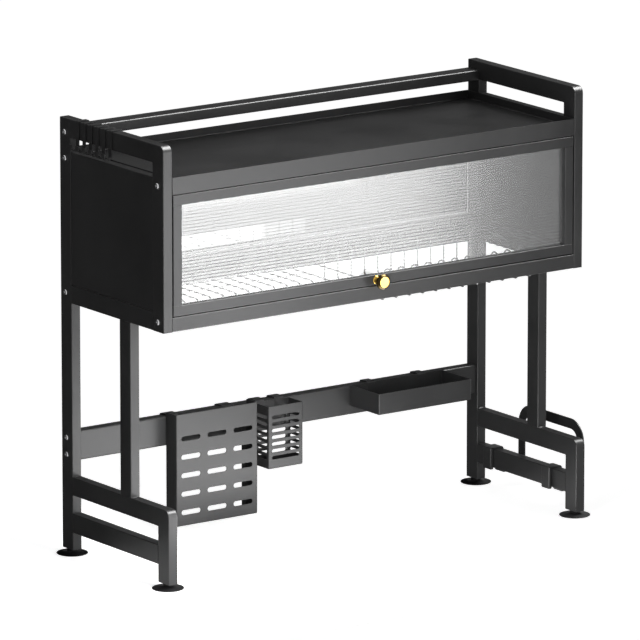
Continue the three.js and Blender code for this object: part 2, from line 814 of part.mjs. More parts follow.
// The slots of the board rack's front, in columns and rows that fill it evenly.
function boardSlots() {
  const slots = [];
  const pitchX = (boardWidth - 2 * boardSlotEdge + boardSlotGap) / boardSlotColumns;
  const pitchZ = (boardHeight - boardLowSlot - boardHighSlot) / (boardSlotRows - 1);
  const width = pitchX - boardSlotGap;
  for (let column = 0; column < boardSlotColumns; column += 1) {
    for (let row = 0; row < boardSlotRows; row += 1) {
      slots.push(frontSlot(boardSlotEdge + width / 2 + column * pitchX, boardLowSlot + row * pitchZ,
        width, -boardDepth));
    }
  }
  return slots;
}

function boardRack() {
  const barTop = crossbarTop - boardBottom;
  const openBack = solidBlock(boardReturn, -hookSheet - cutOverrun, sheet,
    boardWidth - boardReturn, cutOverrun, barTop - boardRim);
  const aboveBar = solidBlock(sheet, -hookSheet - cutOverrun, barTop,
    boardWidth - sheet, cutOverrun, boardHeight + cutOverrun);
  const shell = basketShell(boardWidth, boardDepth, boardHeight);
  const open = cutFrom(shell, [openBack, aboveBar, ...boardSlots()]);
  const hooks = [boardHookLeft, boardWidth - boardHookRight - boardHookWidth].map((x) => crossbarHook(
    boardHookWidth, x, boardBottom));
  return surface(joined([open, ...hooks]));
}

function utensilCup() {
  const slots = [];
  const pitch = (cupHeight - cupLowSlot - cupHighSlot) / (cupSlotRows - 1);
  for (let row = 0; row < cupSlotRows; row += 1) {
    const low = cupLowSlot + row * pitch - cupSlotHeight / 2;
    const high = low + cupSlotHeight;
    // the top row's back stays whole under the hooks
    const rear = row < cupSlotRows - 1 ? cutOverrun : cutOverrun - cupDepth;
    slots.push(solidBlock(cupCorner, -cupDepth - cutOverrun, low, cupWidth - cupCorner, rear, high));
    slots.push(solidBlock(-cutOverrun, cupSideCorner - cupDepth, low,
      cupWidth + cutOverrun, -cupSideCorner, high));
  }
  const open = cutFrom(basketShell(cupWidth, cupDepth, cupHeight), slots);
  const hooks = [cupHookLeft, cupWidth - cupHookRight - cupHookWidth].map((x) => crossbarHook(
    cupHookWidth, x, cupBottom));
  return surface(joined([open, ...hooks]));
}

function longTray() {
  const shell = basketShell(longWidth, longDepth, longHeight);
  const places = [longHookInset, longWidth - longHookInset - longHookWidth];
  const hooks = places.map((x) => crossbarHook(longHookWidth, x, longBottom));
  return surface(joined([shell, ...hooks]));
}

// One strap of the board holder, from the pad inside the low rail out to the loop.
// Its origin is on the rail's top outer edge.
function holderStrap(y) {
  const padX = -tubeWidth - seatGap - holderPad;
  const top = seatGap + holderSheet;
  const outline = shapeOf([
    [padX, -holderPadDrop],
    [padX + holderPad, -holderPadDrop],
    [padX + holderPad, seatGap],
    [seatGap, seatGap],
    [seatGap, -holderLegDrop],
    [holderReach, -holderLegDrop],
    [holderReach, holderSheet - holderLegDrop],
    [seatGap + holderSheet, holderSheet - holderLegDrop],
    [seatGap + holderSheet, top],
    [padX, top],
  ]);
  return solid(alongY(outline, holderStrapWidth).translate(0, y, 0));
}

// The holder's upright loop, a flat ring open at the bottom.
function holderLoop() {
  const near = holderLoopInset;
  const far = holderSpan - holderLoopInset;
  const inner = holderBend - holderRing;
  const centreZ = holderLoopTop - holderBend;
  const outline = shapeOf([
    [near, -holderLegDrop],
    [near + holderRing, -holderLegDrop],
    ...arc(near + holderBend, centreZ, inner, 180, 90, holderSteps),
    ...arc(far - holderBend, centreZ, inner, 90, 0, holderSteps),
    [far - holderRing, -holderLegDrop],
    [far, -holderLegDrop],
    ...arc(far - holderBend, centreZ, holderBend, 0, 90, holderSteps),
    ...arc(near + holderBend, centreZ, holderBend, 90, 180, holderSteps),
  ]);
  return solid(alongX(outline, holderSheet).translate(holderReach - holderSheet, 0, 0));
}

function boardHolder() {
  return surface(joined([holderStrap(0), holderStrap(holderSpan - holderStrapWidth), holderLoop()]));
}

// A small hook over the top rail with its curl outside. Its origin is on the rail's top inner edge.
function railHook() {
  const half = pegSheet / 2;
  const innerX = seatGap + half;
  const outerX = -tubeWidth - seatGap - half;
  return alongY(stripShape([
    [innerX, -pegInnerLeg],
    [innerX, innerX],
    [outerX, innerX],
    ...arc(outerX - pegCurl, -pegOuterDrop, pegCurl, 0, -180, pegSteps),
    [outerX - 2 * pegCurl, pegTip - pegOuterDrop],
  ], pegSheet), pegWidth);
}

function foot() {
  const bossTop = footHeight - seatGap;
  return turned([
    [0, 0], [footRadius, 0], [footRadius, footRim], [footBossRadius, footConeTop],
    [footBossRadius, bossTop], [stemRadius, bossTop], [stemRadius, bossTop + stemLength],
    [0, bossTop + stemLength],
  ], footSides);
}

function feet() {
  const ends = [['rear', postCentreY], ['front', legCentreY]];
  const sides = [['left', tubeWidth / 2], ['right', rackWidth - tubeWidth / 2]];
  return sides.flatMap(([side, x]) => ends.map(([end, y]) => node(`${side}_${end}_foot`, foot(),
    blackPlastic, x, y)));
}

function railHooks() {
  return Array.from({ length: pegCount }, (unused, i) => node(`rail_hook_${i + 1}`, railHook(),
    blackCoat, innerLeft, pegFirst + i * pegPitch - pegWidth / 2, frameHeight));
}

function dishRack() {
  const rack = new THREE.Group();
  rack.add(
    sideFrame('left', 0, 1),
    sideFrame('right', innerRight, -1),
    node('top_tray', topTray(), blackCoat, innerLeft + seatGap, 0, traySkirtBottom),
    node('rear_guard_rail', rearGuardRail(), blackCoat, innerLeft, postY, guardBottom),
    backPanel(),
    node('rear_bottom_rail', rearBottomRail(), blackCoat, innerLeft, rearRailY, cabinetFloor),
    node('front_bottom_rail', frontBottomRail(), blackCoat, innerLeft, 0, cabinetFloor),
    node('crossbar', crossbar(), blackCoat, innerLeft, crossbarY, crossbarBottom),
    ...hingePins(),
    door(),
    node('plate_rack', plateRack(), blackCoat, plateLeft, 0, seatWire),
    node('bowl_rack', bowlRack(), blackCoat, bowlLeft, 0, seatWire),
    node('board_rack', boardRack(), blackCoat, boardLeft, basketRear, boardBottom),
    node('utensil_cup', utensilCup(), blackCoat, cupLeft, basketRear, cupBottom),
    node('long_tray', longTray(), blackCoat, longLeft, basketRear, longBottom),
    node('board_holder', boardHolder(), blackCoat, rackWidth, holderFront, lowRailTop),
    ...railHooks(),
    ...feet(),
  );
  return rack;
}

// The whole stands on the floor with its origin under the middle of its box.
function centred(rack) {
  rack.updateMatrixWorld(true);
  const box = new THREE.Box3().setFromObject(rack, true);
  rack.position.set(-(box.min.x + box.max.x) / 2, -(box.min.y + box.max.y) / 2, -box.min.z);
  const group = new THREE.Group();
  group.add(rack);
  return group;
}

export default centred(dishRack());
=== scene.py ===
from math import asin, atan2, cos, degrees, hypot, pi, radians, sin, tan

import bpy
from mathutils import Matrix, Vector


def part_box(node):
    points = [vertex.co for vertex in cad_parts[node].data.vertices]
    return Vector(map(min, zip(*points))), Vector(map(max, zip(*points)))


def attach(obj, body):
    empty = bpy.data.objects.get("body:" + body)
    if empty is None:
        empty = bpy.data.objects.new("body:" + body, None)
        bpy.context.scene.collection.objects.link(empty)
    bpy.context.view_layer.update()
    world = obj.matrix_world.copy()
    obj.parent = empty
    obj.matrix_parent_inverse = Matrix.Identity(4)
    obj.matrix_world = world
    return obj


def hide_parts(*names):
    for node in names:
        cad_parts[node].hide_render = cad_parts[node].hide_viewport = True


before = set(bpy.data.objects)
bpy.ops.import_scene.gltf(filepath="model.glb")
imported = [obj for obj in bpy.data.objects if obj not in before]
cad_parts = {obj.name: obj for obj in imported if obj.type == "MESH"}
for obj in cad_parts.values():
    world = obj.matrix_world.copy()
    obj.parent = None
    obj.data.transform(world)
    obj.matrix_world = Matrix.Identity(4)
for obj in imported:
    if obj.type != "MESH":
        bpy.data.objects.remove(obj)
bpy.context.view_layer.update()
near = 0.00005  # how close two places count as the same, in metres
mm = 0.001
print("frame loaded:", len(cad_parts), "nodes")


# Picking and placing

def deselectAll():
    bpy.ops.object.select_all(action="DESELECT")


def choose(piece):
    deselectAll()
    piece.select_set(True)
    bpy.context.view_layer.objects.active = piece


def settle(piece):
    # the place goes into the mesh, as on the frame's own nodes
    choose(piece)
    bpy.ops.object.transform_apply(location=True, rotation=True, scale=True)


def named(name):
    # the piece that was just added, with its place in its mesh
    piece = bpy.context.object
    piece.name = name
    settle(piece)
    return piece


def same(a, b):
    return abs(a - b) < near


def startEdit(piece, action="SELECT", kind=None):
    choose(piece)
    bpy.ops.object.mode_set(mode="EDIT")
    if kind:
        bpy.ops.mesh.select_mode(type=kind)
    bpy.ops.mesh.select_all(action=action)


def leaveEdit():
    bpy.ops.object.mode_set(mode="OBJECT")


def pickFrom(piece, kind, parts, isWanted):
    # selects parts of the mesh in code; leaves edit mode on
    startEdit(piece, "DESELECT", kind)
    leaveEdit()
    for part in parts():
        part.select = isWanted(part)
    bpy.ops.object.mode_set(mode="EDIT")


def drag(step):
    bpy.ops.mesh.extrude_region_move(TRANSFORM_OT_translate={"value": step})


def addBox(name, low, high):
    low, high = Vector(low), Vector(high)
    deselectAll()
    bpy.ops.mesh.primitive_cube_add(size=1, location=(low + high) / 2, scale=high - low)
    return named(name)


def pickEdges(piece, wanted):
    # edges chosen by the places of their two ends
    def ends(edge):
        return [piece.data.vertices[index].co for index in edge.vertices]

    pickFrom(piece, "EDGE", lambda: piece.data.edges, lambda edge: wanted(*ends(edge)))


def pickFaces(piece, wanted):
    # faces chosen by their middle and normal
    pickFrom(piece, "FACE", lambda: piece.data.polygons, lambda face: wanted(face.center, face.normal))


def onPlane(axis, *places):
    # both ends of the edge at one of these places along the axis
    return lambda a, b: any(same(a[axis], place) and same(b[axis], place) for place in places)


def alongAxis(axis):
    return lambda a, b: not same(a[axis], b[axis])


def bevelEdges(piece, wanted, radius, segments):
    pickEdges(piece, wanted)
    bpy.ops.mesh.bevel(offset=radius, segments=segments, affect="EDGES", clamp_overlap=True)
    leaveEdit()


def tidyMesh(piece):
    startEdit(piece)
    bpy.ops.mesh.remove_doubles(threshold=near / 5)
    bpy.ops.mesh.normals_make_consistent(inside=False)
    leaveEdit()


def applyModifier(piece, kind, **settings):
    choose(piece)
    modifier = piece.modifiers.new(kind.title(), kind)
    for name, value in settings.items():
        setattr(modifier, name, value)
    bpy.ops.object.modifier_apply(modifier=modifier.name)


def softenEdges(piece, radius, segments=2, angle=40):
    applyModifier(piece, "BEVEL", width=radius, segments=segments, limit_method="ANGLE",
                  angle_limit=radians(angle), use_clamp_overlap=True)


def copyTo(piece, name, offset):
    choose(piece)
    bpy.ops.object.duplicate(linked=False)
    copy = bpy.context.object
    copy.name = name
    bpy.ops.transform.translate(value=offset)
    settle(copy)
    return copy


def joinAll(name, pieces):
    deselectAll()
    for piece in pieces:
        piece.select_set(True)
    bpy.context.view_layer.objects.active = pieces[0]
    bpy.ops.object.join()
    joined = bpy.context.object
    joined.name = name
    return joined


def cutAway(piece, cutter):
    applyModifier(piece, "BOOLEAN", operation="DIFFERENCE", object=cutter, solver="EXACT")
    choose(cutter)
    bpy.ops.object.delete()


# Bars, tubes and bent stock

def bar(name, low, high, axis, radius, endRadius=0.0):
    # a straight tube: its long edges rounded, its ends too where they show
    piece = addBox(name, low, high)
    bevelEdges(piece, alongAxis(axis), radius, 4)
    if endRadius:
        bevelEdges(piece, onPlane(axis, low[axis], high[axis]), endRadius, 2)
    return piece


def followPath(start, heading, moves, plane="yz"):
    # drags what is selected along runs and bends; headings count from the plane's first axis up to +Z
    point, angle = Vector(start), radians(heading)
    axis = Vector((1, 0, 0)) if plane == "yz" else Vector((0, -1, 0))

    def along(turn):
        return Vector((0, cos(turn), sin(turn))) if plane == "yz" else Vector((cos(turn), 0, sin(turn)))

    for move in moves:
        if move[0] == "run":
            step = along(angle) * move[1]
            drag(step)
            point += step
            continue
        radius, turn, steps = move[1], radians(move[2]), move[3]
        side = 1 if turn > 0 else -1
        centre = point + along(angle + side * pi / 2) * radius
        # the spin operator counts its angle the other way round
        bpy.ops.mesh.spin(steps=steps, angle=-turn, center=centre, axis=axis)
        angle += turn
        point = centre - along(angle + side * pi / 2) * radius
    return point


def easeOf(bend, angle):
    # how much of a straight run a bend takes at its end
    return bend * tan(radians(angle) / 2)


wireStock = {"radius": 1.5 * mm, "sink": 0.6 * mm, "overhang": 3 * mm, "weld": 1.9 * mm, "swell": 1.12,
             "tip": 0.5 * mm, "sides": 10, "rodSides": 12, "rodTip": 0.35, "dropSides": 10, "dropRings": 6}


def wire(name, start, heading, moves):
    # round wire bent in a plane of constant x
    deselectAll()
    bpy.ops.mesh.primitive_circle_add(vertices=wireStock["sides"], radius=wireStock["radius"],
                                      fill_type="NGON", location=start,
                                      rotation=(radians(heading) - pi / 2, 0, 0))
    piece = named(name)
    startEdit(piece)
    followPath(start, heading, moves)
    leaveEdit()
    tidyMesh(piece)
    softenEdges(piece, wireStock["tip"], 2, 60)
    return piece


def rod(name, low, high, axis=0):
    # straight wire with its ends rounded off
    low, high = Vector(low), Vector(high)
    deselectAll()
    turn = (0, pi / 2, 0) if axis == 0 else (pi / 2, 0, 0)
    radius = wireStock["radius"]
    bpy.ops.mesh.primitive_cylinder_add(vertices=wireStock["rodSides"], radius=radius,
                                        depth=(high - low).length, location=(low + high) / 2, rotation=turn)
    piece = named(name)
    bevelEdges(piece, lambda a, b: same(a[axis], b[axis]), radius * wireStock["rodTip"], 2)
    return piece


def startEdge(name, start, width, axis=0):
    # one straight edge from the start point along x or y, selected in edit mode
    middle = Vector(start)
    middle[axis] += width / 2
    middle[1 - axis] += width / 2
    deselectAll()
    bpy.ops.mesh.primitive_plane_add(size=1, location=middle)
    bpy.context.object.scale = (width, width, 1)
    piece = named(name)
    limit = start[1 - axis] + near
    pickFrom(piece, "VERT", lambda: piece.data.vertices, lambda vertex: vertex.co[1 - axis] > limit)
    bpy.ops.mesh.delete(type="VERT")
    bpy.ops.mesh.select_all(action="SELECT")
    return piece


def strap(name, width, start, heading, moves, thickness, plane, edge):
    # flat strip bent along a path; its width lies across the path's plane, from the start point on
    piece = startEdge(name, start, width, 0 if plane == "yz" else 1)
    followPath(start, heading, moves, plane)
    leaveEdit()
    tidyMesh(piece)
    applyModifier(piece, "SOLIDIFY", thickness=thickness, offset=0, use_even_offset=True)
    softenEdges(piece, edge, 2, 60)
    return piece


def turned(name, profile, origin, axis, steps, rim=0.0):
    # a lathe piece: (radius, height) points spun about an axis through the origin point
    across = Vector((0, 0, 1)) if abs(axis[2]) < 0.5 else Vector((1, 0, 0))
    axis = Vector(axis)
    places = [Vector(origin) + across * r + axis * h for r, h in profile]
    deselectAll()
    bpy.ops.mesh.primitive_plane_add(size=1 * mm, location=places[0])
    piece = named(name)
    startEdit(piece, kind="VERT")
    bpy.ops.mesh.merge(type="CENTER")
    for before, after in zip(places, places[1:]):
        drag(after - before)
    bpy.ops.mesh.select_all(action="SELECT")
    bpy.ops.mesh.spin(steps=steps, angle=2 * pi, center=origin, axis=axis)
    leaveEdit()
    tidyMesh(piece)
    if rim:
        softenEdges(piece, rim, 3, 35)
    return piece


# Shared effects, built once and placed in each material

def setInputs(node, values):
    for name, value in values.items():
        node.inputs[name].default_value = value


def addNode(tree, kind, x, y, values=None, **settings):
    node = tree.nodes.new(kind)
    node.location = (x, y)
    for name, value in settings.items():
        setattr(node, name, value)
    setInputs(node, values or {})
    return node


def connect(tree, *pairs):
    for source, output, target, entry in pairs:
        tree.links.new(source.outputs[output], target.inputs[entry])


def addNoise(tree, x, y, scale, detail, roughness):
    values = {"Scale": scale, "Detail": detail, "Roughness": roughness}
    return addNode(tree, "ShaderNodeTexNoise", x, y, values)


def newGroup(name, inputs, outputs):
    group = bpy.data.node_groups.new(name, "ShaderNodeTree")
    for label, value in inputs.items():
        socket = group.interface.new_socket(name=label, in_out="INPUT", socket_type="NodeSocketFloat")
        socket.default_value = value
    for label in outputs:
        group.interface.new_socket(name=label, in_out="OUTPUT", socket_type="NodeSocketFloat")
    start = addNode(group, "NodeGroupInput", -900, 0)
    end = addNode(group, "NodeGroupOutput", 500, 0)
    return group, start, end, addNode(group, "ShaderNodeTexCoord", -700, -100)


def buildGrainGroup():
    # fine peel for the bump, and slow patches for tone and roughness
    scales = {"PeelScale": 900.0, "PatchScale": 9.0}
    group, start, end, place = newGroup("coatGrain", scales, ["Peel", "Patch"])
    peel = addNoise(group, -400, 200, scales["PeelScale"], 2.0, 0.6)
    patch = addNoise(group, -400, -100, scales["PatchScale"], 4.0, 0.55)
    spread = addNode(group, "ShaderNodeMapRange", -100, -100, {"From Min": 0.3, "From Max": 0.7})
    connect(group, (place, "Object", peel, "Vector"), (place, "Object", patch, "Vector"),
            (start, "PeelScale", peel, "Scale"), (start, "PatchScale", patch, "Scale"),
            (patch, "Fac", spread, "Value"), (peel, "Fac", end, "Peel"), (spread, "Result", end, "Patch"))
    return group


def buildWearGroup():
    # a mask that grows where the surface turns a corner, broken up by noise
    values = {"Reach": 0.0012, "BreakScale": 160.0}
    group, start, end, place = newGroup("edgeWear", values, ["Mask"])
    shape = addNode(group, "ShaderNodeNewGeometry", -700, 350)
    rounded = addNode(group, "ShaderNodeBevel", -700, 100, samples=4)
    turn = addNode(group, "ShaderNodeVectorMath", -500, 250, operation="DOT_PRODUCT")
    edge = addNode(group, "ShaderNodeMapRange", -300, 200, {"From Min": 0.99, "From Max": 0.85})
    broken = addNoise(group, -400, -100, values["BreakScale"], 3.0, 0.6)
    mixed = addNode(group, "ShaderNodeMath", 0, 100, operation="MULTIPLY")
    connect(group, (start, "Reach", rounded, "Radius"), (shape, "Normal", turn, 0),
            (rounded, "Normal", turn, 1), (turn, "Value", edge, "Value"),
            (place, "Object", broken, "Vector"), (start, "BreakScale", broken, "Scale"),
            (edge, "Result", mixed, 0), (broken, "Fac", mixed, 1), (mixed, "Value", end, "Mask"))
    return group


def buildBrushGroup():
    # turning marks: noise drawn out along y
    group, start, end, place = newGroup("brushMarks", {"Fine": 1400.0}, ["Height", "Tone"])
    stretch = addNode(group, "ShaderNodeMapping", -500, 200, {"Scale": (1.0, 0.03, 1.0)})
    lines = addNoise(group, -250, 200, 1400.0, 2.0, 0.5)
    cloud = addNoise(group, -250, -100, 60.0, 3.0, 0.5)
    connect(group, (place, "Object", stretch, "Vector"), (stretch, "Vector", lines, "Vector"),
            (place, "Object", cloud, "Vector"), (start, "Fine", lines, "Scale"),
            (lines, "Fac", end, "Height"), (cloud, "Fac", end, "Tone"))
    return group


coatGrain = buildGrainGroup()
edgeWear = buildWearGroup()
brushMarks = buildBrushGroup()


# Materials


def newMaterial(name):
    material = bpy.data.materials.new(name)
    material.use_nodes = True
    material.node_tree.nodes.clear()
    tree = material.node_tree
    shader = addNode(tree, "ShaderNodeBsdfPrincipled", 300, 0)
    output = addNode(tree, "ShaderNodeOutputMaterial", 600, 0)
    connect(tree, (shader, "BSDF", output, "Surface"))
    return material, tree, shader


def addMix(tree, x, y, first, second):
    return addNode(tree, "ShaderNodeMix", x, y, {"A": (*first, 1), "B": (*second, 1)}, data_type="RGBA")


def addRange(tree, x, y, low, high):
    return addNode(tree, "ShaderNodeMapRange", x, y, {"To Min": low, "To Max": high})


def addSurface(tree, shader, look, group, mask, height):
    # tone and roughness from slow patches, and a fine bump; returns the tone
    grain = addNode(tree, "ShaderNodeGroup", -600, 0, look["scales"], node_tree=group)
    tone = addMix(tree, -300, 200, look["dark"], look["light"])
    rough = addRange(tree, -300, -100, *look["rough"])
    depth = {"Strength": look["bump"], "Distance": look["bumpHeight"]}
    bump = addNode(tree, "ShaderNodeBump", 0, -300, depth)
    connect(tree, (grain, mask, tone, "Factor"), (grain, mask, rough, "Value"),
            (rough, "Result", shader, "Roughness"), (grain, height, bump, "Height"),
            (bump, "Normal", shader, "Normal"))
    return tone


def makeFinish(name, slot, look, group=coatGrain, mask="Patch", height="Peel", metallic=0.0):
    # worn edges are lighter
    material, tree, shader = newMaterial(name)
    tone = addSurface(tree, shader, look, group, mask, height)
    wear = addNode(tree, "ShaderNodeGroup", -600, 300, node_tree=edgeWear)
    worn = addMix(tree, -50, 200, look["light"], look["edge"])
    connect(tree, (tone, "Result", worn, "A"), (wear, "Mask", worn, "Factor"),
            (worn, "Result", shader, "Base Color"))
    setInputs(shader, {"IOR": look.get("ior", shader.inputs["IOR"].default_value), "Metallic": metallic})
    return material


powderLook = {"dark": (0.026, 0.026, 0.0265), "light": (0.036, 0.036, 0.0365), "edge": (0.07, 0.07, 0.071),
              "rough": (0.3, 0.4), "scales": {"PeelScale": 850.0, "PatchScale": 7.0},
              "bump": 0.12, "bumpHeight": 0.0003, "ior": 1.3}
glossLook = {"dark": (0.02, 0.02, 0.0205), "light": (0.026, 0.026, 0.0265), "edge": (0.05, 0.05, 0.05),
             "rough": (0.03, 0.06), "scales": {"PeelScale": 9.0, "PatchScale": 4.0},
             "bump": 0.02, "bumpHeight": 0.0002, "ior": 2.5}
plasticLook = {"dark": (0.004, 0.004, 0.0045), "light": (0.008, 0.008, 0.0085), "edge": (0.03, 0.03, 0.03),
               "rough": (0.5, 0.66), "scales": {"PeelScale": 1500.0, "PatchScale": 60.0},
               "bump": 0.25, "bumpHeight": 0.0002, "ior": 1.25}
# painted light: the wires wear the frame's black coat, but their colour is painted lighter here so that they
# look lit through the glazing
wirePaintedLightLook = {"dark": (0.05, 0.05, 0.0505), "light": (0.07, 0.07, 0.0705), "edge": (0.09, 0.09, 0.09),
            "rough": (0.2, 0.3), "scales": {"PeelScale": 1400.0, "PatchScale": 16.0},
            "bump": 0.1, "bumpHeight": 0.0002, "ior": 2.0}
steelLook = {"dark": (0.42, 0.42, 0.43), "light": (0.68, 0.68, 0.69), "edge": (0.85, 0.85, 0.86),
             "rough": (0.16, 0.3), "scales": {"Fine": 2200.0}, "bump": 0.08, "bumpHeight": 0.0001}
brassLook = {"dark": (0.62, 0.36, 0.05), "light": (0.86, 0.6, 0.14), "edge": (1.0, 0.83, 0.35),
             "rough": (0.12, 0.22), "scales": {"Fine": 1800.0}, "bump": 0.06, "bumpHeight": 0.0001}
# painted reflection: the polished rim's dark mirror image is painted into a dark brass colour
rimPaintedReflectionLook = {"dark": (0.02, 0.014, 0.006), "light": (0.05, 0.034, 0.012), "edge": (0.3, 0.2, 0.05),
           "rough": (0.14, 0.22), "scales": {"Fine": 1800.0}, "bump": 0.06, "bumpHeight": 0.0001}
bright = {"group": brushMarks, "mask": "Tone", "height": "Height", "metallic": 1.0}
powderCoat = makeFinish("powderCoat", "black_coat", powderLook)
# a lighter copy of the black coat, for the wires: painted light
wirePaintedLightCoat = makeFinish("wirePaintedLightCoat", "black_coat", wirePaintedLightLook)
glossPanel = makeFinish("glossPanel", "dark_gloss", glossLook)
footPlastic = makeFinish("footPlastic", "black_plastic", plasticLook)
brightSteel = makeFinish("brightSteel", "bright_steel", steelLook, **bright)
knobBrass = makeFinish("knobBrass", "brass", brassLook, **bright)
rimPaintedReflectionBrass = makeFinish("rimPaintedReflectionBrass", "brass", rimPaintedReflectionLook, **bright)
glazingLook = {"scales": {"PeelScale": 240.0, "PatchScale": 5.0}, "dark": (0.86, 0.87, 0.87),
               "light": (0.9, 0.905, 0.905), "rough": (0.0, 0.02), "bump": 0.004, "bumpHeight": 0.00001,
               "shade": 0.15}


def makeGlazing(look):
    # clear sheet: light goes nearly straight through, the hard coat gives the sheen
    material, tree, shader = newMaterial("flutedGlazing")
    tint = addSurface(tree, shader, look, coatGrain, "Patch", "Peel")
    # lamps outside reach the racks behind the sheet
    rays = addNode(tree, "ShaderNodeLightPath", -600, -500)
    clear = addNode(tree, "ShaderNodeMath", -300, -500, {1: look["shade"] - 1, 2: 1.0},
                    operation="MULTIPLY_ADD")
    connect(tree, (rays, "Is Shadow Ray", clear, 0), (clear, "Value", shader, "Alpha"),
            (tint, "Result", shader, "Base Color"))
    setInputs(shader, {"Transmission Weight": 1.0, "IOR": 1.02, "Coat Weight": 1.0, "Coat IOR": 1.9,
                       "Coat Roughness": 0.2})
    return material


glazing = makeGlazing(glazingLook)


def dress(piece, body, material, *nodes, angle=35):
    # smooth shading that keeps flats flat, then the finish and the body that it rides on
    choose(piece)
    bpy.ops.object.shade_smooth_by_angle(angle=radians(angle))
    applyModifier(piece, "WEIGHTED_NORMAL", keep_sharp=True, weight=60)
    piece.data.materials.clear()
    piece.data.materials.append(material)
    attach(piece, body)
    if nodes:
        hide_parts(*nodes)
    return piece


# Side frames

tube = {"corner": 1.4 * mm, "elbow": 12 * mm, "depth": 31 * mm, "cap": 0.9 * mm}


def bentTube(name, node):
    # upright that turns into a rail at a rounded outer corner
    low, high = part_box(node)
    under = high.z - tube["depth"]
    back = low.y + tube["depth"]
    piece = addBox(name, low, (high.x, back, high.z))
    startEdit(piece)
    bpy.ops.mesh.bisect(plane_co=(0, 0, under), plane_no=(0, 0, 1))
    leaveEdit()
    pickFaces(piece, lambda middle, normal: normal.y > 0.9 and middle.z > under)
    drag((0, high.y - back, 0))
    leaveEdit()
    front, top, cutEnds = onPlane(1, low.y), onPlane(2, high.z), onPlane(2, low.z)
    bevelEdges(piece, lambda a, b: front(a, b) and top(a, b), tube["elbow"], 9)
    sides, railEnd, seam = onPlane(0, low.x, high.x), onPlane(1, high.y), onPlane(2, under)

    def outline(a, b):
        inside = seam(a, b) and max(a.y, b.y) < back + near
        return sides(a, b) and not cutEnds(a, b) and not railEnd(a, b) and not inside

    bevelEdges(piece, outline, tube["corner"], 4)
    return piece


panel = {"corner": 2.5 * mm, "edge": 1.2 * mm, "sheet": 1.2 * mm}


def sidePanel(name, node, inward):
    # pressed sheet with rounded edges, its tray-like inside open towards the cabinet
    low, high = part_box(node)
    outer = low.x if inward > 0 else high.x
    piece = addBox(name, low, high)
    bevelEdges(piece, alongAxis(0), panel["corner"], 4)
    bevelEdges(piece, onPlane(0, outer), panel["edge"], 3)
    pickFaces(piece, lambda middle, normal: normal.x * inward > 0.9)
    bpy.ops.mesh.inset(thickness=panel["sheet"], depth=0)
    drag((-inward * (high.x - low.x - panel["sheet"]), 0, 0))
    leaveEdit()
    return piece


bead = {"radius": 1.6 * mm, "length": 13 * mm, "ripples": (-0.588, 0.0, 0.588), "ring": 0.2 * mm,
        "pinch": 0.86}


def weldBead(name, x, y, z):
    # a run of weld laid in an inner corner, tapering at both ends
    deselectAll()
    bpy.ops.mesh.primitive_uv_sphere_add(segments=16, ring_count=10, radius=1, location=(x, y, z),
                                         rotation=(0, pi / 2, 0),
                                         scale=(bead["radius"], bead["radius"], bead["length"] / 2))
    piece = named(name)
    # ripples along the run
    for share in bead["ripples"]:
        place = x + share * bead["length"] / 2
        pickEdges(piece, lambda a, b: abs(a.x - place) < bead["ring"] and abs(b.x - place) < bead["ring"])
        bpy.ops.transform.resize(value=(1, bead["pinch"], bead["pinch"]), center_override=(place, y, z))
        leaveEdit()
    return piece


def weldPlaces(side):
    # (y, z) of the inner corners where tubes meet; the low rail is left smooth for the board holder
    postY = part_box(side + "_rear_post")[0].y
    hoop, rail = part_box(side + "_top_hoop"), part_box(side + "_cabinet_rail")
    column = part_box(side + "_mid_column")
    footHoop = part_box(side + "_foot_hoop")
    return [
        (postY, hoop[1].z - tube["depth"]),
        (postY, rail[0].z),
        (column[0].y, rail[0].z), (column[1].y, rail[0].z),
        (column[0].y, column[0].z), (column[1].y, column[0].z),
        (postY, footHoop[1].z), (postY, footHoop[1].z - tube["depth"]),
    ]


def buildSide(side, inward):
    post = side + "_rear_post"
    low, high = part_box(post)
    upright = bar(side + "RearPost", low, high, 2, tube["corner"])
    bevelEdges(upright, onPlane(2, high.z), tube["cap"], 2)
    dress(upright, "frame", powderCoat, post)
    for part, label in (("top_hoop", "TopHoop"), ("foot_hoop", "FootHoop")):
        dress(bentTube(side + label, f"{side}_{part}"), "frame", powderCoat, f"{side}_{part}")
    for part, label, axis in (("cabinet_rail", "CabinetRail", 1), ("mid_column", "MidColumn", 2),
                              ("foot_rail", "FootRail", 1)):
        node = f"{side}_{part}"
        dress(bar(side + label, *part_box(node), axis, tube["corner"]), "frame", powderCoat, node)
    node = side + "_side_panel"
    dress(sidePanel(side + "SidePanel", node, inward), "frame", powderCoat, node)
    middle = (low.x + high.x) / 2
    beads = [weldBead(f"{side}Weld{i}", middle, y, z) for i, (y, z) in enumerate(weldPlaces(side))]
    dress(joinAll(side + "Welds", beads), "frame", powderCoat)


buildSide("left", 1)
buildSide("right", -1)
print("side frames built")


# Frame screws: button heads with a hex socket

screw = {"head": 5 * mm, "height": 3.2 * mm, "shank": 2.5 * mm, "socket": 1.75 * mm, "socketDepth": 1.7 * mm,
         "buried": 6 * mm, "rim": 0.12 * mm, "brim": 0.25, "domeTurn": 70, "domeStep": 11, "domeCurve": 0.8,
         "sides": 32}


